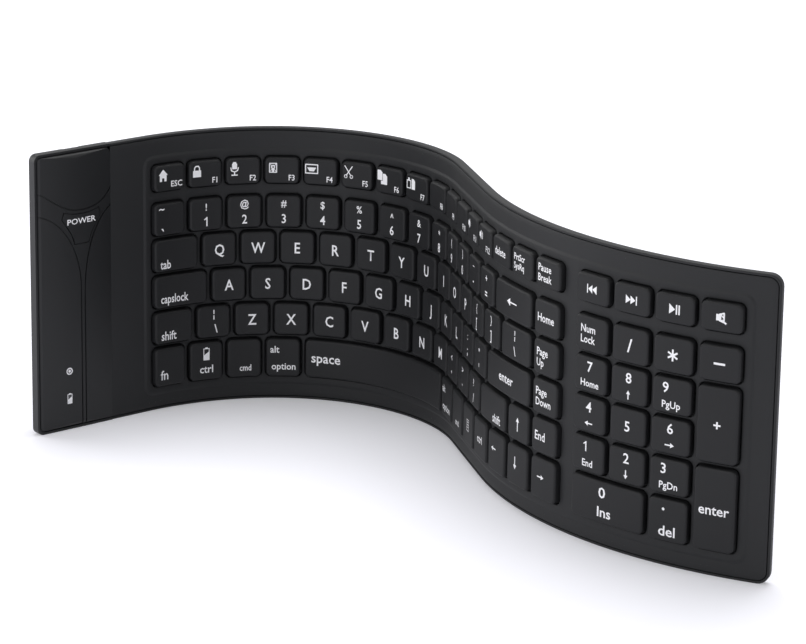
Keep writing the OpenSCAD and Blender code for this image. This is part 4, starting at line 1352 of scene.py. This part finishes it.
@dataclass
class Sheet:
    """The silicone sheet: two sections with keys and the two bare bands that bend."""

    nodes: WaveNodes
    pod_end: float = 38.0
    main: Point = (47.0, 342.3)
    pad: Point = (347.3, 436.6)
    pod_tail: Point = (29.4, 48.0)
    pad_tail: Point = (341.3, 348.3)
    tail_z: float = 60.5
    tail_w: float = 24.0
    tail_face: float = 0.2
    tail_step: float = 0.75
    band_z: float = 60.0

    def build(self, main_keys: list[Key], pad_keys: list[Key]) -> None:
        """Builds the skins and trays of both sections, then the bending strips."""
        for side, body, span, ends, keys in (
            ("main", "main_section", self.main, Open.BOTH, main_keys),
            ("pad", "number_pad", self.pad, Open.LEFT, pad_keys),
        ):
            stretch = Stretch(*span, ends)
            skin, tray = Flat(), Flat()
            stretch.border(skin)
            stretch.field(skin, keys)
            stretch.tray(tray)
            for flat, part in ((skin, "skin"), (tray, "back")):
                piece = self.nodes.piece(flat, f"{side}_soft_{part}", SILICONE)
                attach(piece, body)
                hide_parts(f"{side}_{part}")
                LOG.info("%s: %d faces", piece.name, len(piece.data.polygons))
        pod_band, pad_band = (self.pod_end, self.main[0]), (self.main[1], self.pad[0])
        self._strip("pod_soft_web", "pod_web", pod_band, "pod", False)
        self._strip("pad_soft_web", "pad_web", pad_band, "number_pad", True)
        self._tail("pod_soft_tail", "pod_tail", self.pod_tail, pod_band, "pod")
        self._tail("pad_soft_tail", "pad_tail", self.pad_tail, pad_band, "number_pad")

    def _bend(self, piece: bpy.types.Object, node: str, band: Point, body: str) -> None:
        """Hides the CAD node that a piece of a bare band stands for, and bakes the piece's place into its
        mesh.

        Args:
            piece: The piece.
            node: The CAD node that it stands for.
            band: The first and last station of the band that bends.
            body: The body that moves against the main section.
        """
        near, far = (self.nodes.wave.metres(s, self.band_z, 0) for s in band)
        if body == "pod":
            near, far = far, near
        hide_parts(node)
        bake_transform(piece)
        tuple(near)
        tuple(far)
        LOG.info("%s: %d faces", piece.name, len(piece.data.polygons))

    def _tail(self, name: str, node: str, span: Point, band: Point, body: str) -> None:
        """Builds a film tail that runs through a bare band, from one section into the other.

        Args:
            name: The new piece's name.
            node: The CAD node that it stands for.
            span: The tail's first and last station.
            band: The first and last station of the band that bends.
            body: The body that moves against the main section.
        """
        stations = np.linspace(*span, math.ceil((span[1] - span[0]) / self.tail_step) + 1)
        low, high, n = self.tail_z - self.tail_w / 2, self.tail_z + self.tail_w / 2, self.tail_face
        flat, blank = Flat(), np.ones(len(stations))
        edges = ((low, n), (high, n), (high, -n), (low, -n), (low, n))
        flat.strip([np.c_[stations, blank * z, blank * level] for z, level in edges], closed=False)
        piece = self.nodes.piece(flat, name, FILM)
        self._bend(piece, node, band, body)

    def _strip(self, name: str, node: str, span: Point, body: str, with_field: bool) -> None:
        """Builds the silicone of a bare band.

        Args:
            name: The new piece's name.
            node: The CAD node that it stands for.
            span: Its first and last station.
            body: The body that moves against the main section.
            with_field: Whether the key field goes on across it.
        """
        stretch = Stretch(*span, Open.BOTH)
        flat = Flat()
        stretch.border(flat)
        stretch.tray(flat)
        if with_field:
            stretch.field(flat, [])
        piece = self.nodes.piece(flat, name, SILICONE)
        self._bend(piece, node, span, body)


# Pod and inner parts


@dataclass
class Pod:
    """The stiff pod at the sheet's left end, and the parts inside the sheet."""

    nodes: WaveNodes
    cover_face: float = 3.4
    cover_middle: float = 19.65
    cover_bend: float = 281.8
    power_place: Point = (22.5, 90.6)
    ring_place: Point = (15.5, 26.0)
    cell_place: Point = (15.5, 14.0)
    finishes: dict[str, Finish] = field(
        default_factory=lambda: {
            "pod_front_cover": COVER,
            "pod_back_cover": COVER,
            "power_button": COVER,
            "power_switch": SHIELD,
            "controller_board": BOARD,
            "board_chips": CHIP,
            "radio_module": SHIELD,
            "indicator_lamps": LAMP,
            "indicator_windows": WINDOW,
            "tail_connector": HOUSING,
            "charge_socket": SHIELD,
            "battery": FOIL,
            "cover_screws": SCREW,
            "main_film": FILM,
            "pad_film": FILM,
        }
    )

    def dress(self, frame: dict) -> None:
        """Gives every CAD node that stays its own finish."""
        for name, finish in self.finishes.items():
            for slot in frame["nodes"][name].material_slots:
                slot.material = finish.material()
            LOG.info("%s: %s", name, finish.name)

    def crown(self, s: np.ndarray) -> np.ndarray:
        """Level of the front cover's crown at stations along the sheet."""
        return self.cover_face - (s - self.cover_middle) ** 2 / self.cover_bend

    def _ink(self, keys: KeyMaker, name: str, body: str, lift: float, *marks: Mark) -> None:
        """Lays ink on the crowned cover.

        Args:
            keys: The maker that sets words and signs.
            name: The new piece's name.
            body: The body that it moves with.
            lift: How far it lies above the cover.
            marks: The words and signs, placed by station and height.
        """
        flat = Flat()
        for mark in marks:
            keys.set_mark(flat, mark, 0.0, 0.0, 0.0)
        for row in flat.rows:
            row[:, 2] = self.crown(row[:, 0]) + lift
        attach(self.nodes.piece(flat, name, INK), body)
        LOG.info("%s: %d marks", name, len(marks))

    def lettering(self, keys: KeyMaker) -> None:
        """Lays the word on the power button and the signs on the windows."""
        word = Mark("POWER", *self.power_place, 2.4, stretch=1.22)
        self._ink(keys, "power_word", "power_key", 0.18, word)
        signs = (Mark(Sign.ROUNDEL, *self.ring_place), Mark(Sign.CELL, *self.cell_place, stretch=0.8))
        self._ink(keys, "window_signs", "pod", 0.08, *signs)


# Studio


@dataclass(frozen=True)
class Lamp:
    """A soft square lamp that looks at the object."""

    name: str
    place: tuple[float, float, float]
    size: float
    power: float
    aim: tuple[float, float, float] = (0.0, 0.0, 0.06)

    def build(self) -> None:
        """Adds the lamp to the scene."""
        data = bpy.data.lights.new(self.name, "AREA")
        data.size = self.size
        data.energy = self.power
        lamp = linked(self.name, data)
        lamp.location = self.place
        ahead = Vector(self.aim) - Vector(self.place)
        lamp.rotation_euler = ahead.to_track_quat("-Z", "Y").to_euler()


@dataclass
class Studio:
    """The floor, the light and the camera."""

    target: tuple[float, float, float] = (7.203, 0.2, 67.59)
    azimuth: float = 0.321
    elevation: float = 16.34
    roll: float = 0.817
    distance: float = 1445.8
    focal_px: float = 3604.1
    width_px: float = 806.0
    sensor: float = 36.0
    floor_half: float = 3.0
    floor_colour: tuple[float, float, float] = (0.80, 0.80, 0.86)
    floor_glow: float = 0.19
    world_light: float = 0.46
    lamps: tuple[Lamp, ...] = (
        Lamp("top_lamp", (0.05, 0.75, 1.7), 1.7, 31.0),
        Lamp("left_lamp", (-1.35, -1.3, 0.85), 1.4, 12.0),
        Lamp("side_lamp", (-1.6, 0.9, 0.5), 1.2, 14.0),
        Lamp("right_lamp", (1.6, -1.0, 0.8), 1.2, 5.0),
    )

    def _floor_material(self) -> bpy.types.Material:
        """A pale surface that glows a little to the camera and still takes the object's shadow."""
        material = bpy.data.materials.new("studio_floor")
        material.use_nodes = True
        tree = material.node_tree
        path = tree.nodes.new("ShaderNodeLightPath").outputs
        seen = path["Is Camera Ray"]
        for name in ("Is Glossy Ray", "Is Transmission Ray"):
            either = {0: seen, 1: path[name]}
            seen = add_node(tree, "ShaderNodeMath", either, operation="MAXIMUM").outputs[0]
        glow = add_node(tree, "ShaderNodeMath", {0: seen, 1: self.floor_glow}, operation="MULTIPLY")
        look = {
            "Base Color": (*self.floor_colour, 1),
            "Roughness": 0.9,
            "Specular IOR Level": 0.1,
            "Emission Color": (1, 1, 1, 1),
            "Emission Strength": glow.outputs[0],
        }
        feed(tree.nodes["Principled BSDF"], look)
        return material

    def floor(self) -> None:
        """Lays the floor."""
        r = self.floor_half
        mesh = bpy.data.meshes.new("studio_floor")
        mesh.from_pydata([(-r, -r, 0), (r, -r, 0), (r, r, 0), (-r, r, 0)], [], [(0, 1, 2, 3)])
        floor = linked("studio_floor", mesh)
        mesh.materials.append(self._floor_material())

    def world(self) -> None:
        """Sets an even pale world that shows white to the camera."""
        world = bpy.data.worlds.new("studio")
        bpy.context.scene.world = world
        world.use_nodes = True
        tree = world.node_tree
        pale = feed(tree.nodes["Background"], {"Color": (1, 1, 1, 1), "Strength": self.world_light})
        white = add_node(tree, "ShaderNodeBackground", {"Color": (1, 1, 1, 1), "Strength": 1.0})
        seen = tree.nodes.new("ShaderNodeLightPath").outputs["Is Camera Ray"]
        mix = add_node(tree, "ShaderNodeMixShader", {0: seen, 1: pale.outputs[0], 2: white.outputs[0]})
        feed(tree.nodes["World Output"], {0: mix.outputs[0]})

    def camera(self) -> None:
        """Sets the camera at the photograph's viewing angle."""
        el, az = math.radians(self.elevation), math.radians(self.azimuth)
        back = Vector((math.sin(az) * math.cos(el), -math.cos(az) * math.cos(el), math.sin(el)))
        data = bpy.data.cameras.new("view")
        data.sensor_width = self.sensor
        data.lens = self.sensor * self.focal_px / self.width_px
        data.clip_end = 20.0
        camera = linked("view", data)
        camera.location = (Vector(self.target) + back * self.distance) * MM
        camera.rotation_mode = "QUATERNION"
        upright = back.to_track_quat("Z", "Y")
        camera.rotation_quaternion = Quaternion(back, math.radians(self.roll)) @ upright
        bpy.context.scene.camera = camera

    def build(self) -> None:
        """Sets up the whole studio."""
        self.floor()
        self.world()
        for lamp in self.lamps:
            lamp.build()
        self.camera()
        bpy.context.scene.view_settings.view_transform = "Standard"


def build_keys(maker: KeyMaker, keys: list[Key], bodies: dict[str, list[str]]) -> None:
    """Makes every key piece with its ink, and sets each on its body.

    Args:
        maker: The maker of keys and ink.
        keys: All keys.
        bodies: The CAD nodes of each body.
    """
    body_of = {node: body for body, nodes in bodies.items() for node in nodes}
    row_legends: list[Key] = []
    for node in dict.fromkeys(key.node for key in keys):
        own = [key for key in keys if key.node == node]
        piece = maker.keys(node.replace("_key", "_soft_key"), own)
        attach(piece, body_of[node])
        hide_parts(node)
        LOG.info("%s: %d keys", piece.name, len(own))
        if node.endswith("keys"):
            row_legends += own
        else:
            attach(maker.legends(f"{node}_legend", own), body_of[node])
    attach(maker.legends("row_key_legends", row_legends), "main_section")


def main() -> None:
    """Dresses the frame, piece by piece."""
    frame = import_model()
    nodes = WaveNodes(Wave())
    maker = KeyMaker(nodes)
    main_keys, pad_keys = Layout().main_keys(), Layout().pad_keys()
    Sheet(nodes).build(main_keys, pad_keys)
    build_keys(maker, main_keys + pad_keys, frame["record"]["behaviour"]["bodies"])
    pod = Pod(nodes)
    pod.dress(frame)
    pod.lettering(maker)
    maker.clear()
    nodes.clear()
    Studio().build()
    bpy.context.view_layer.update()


if __name__ == "__main__":
    logging.basicConfig(level=logging.INFO)
    main()
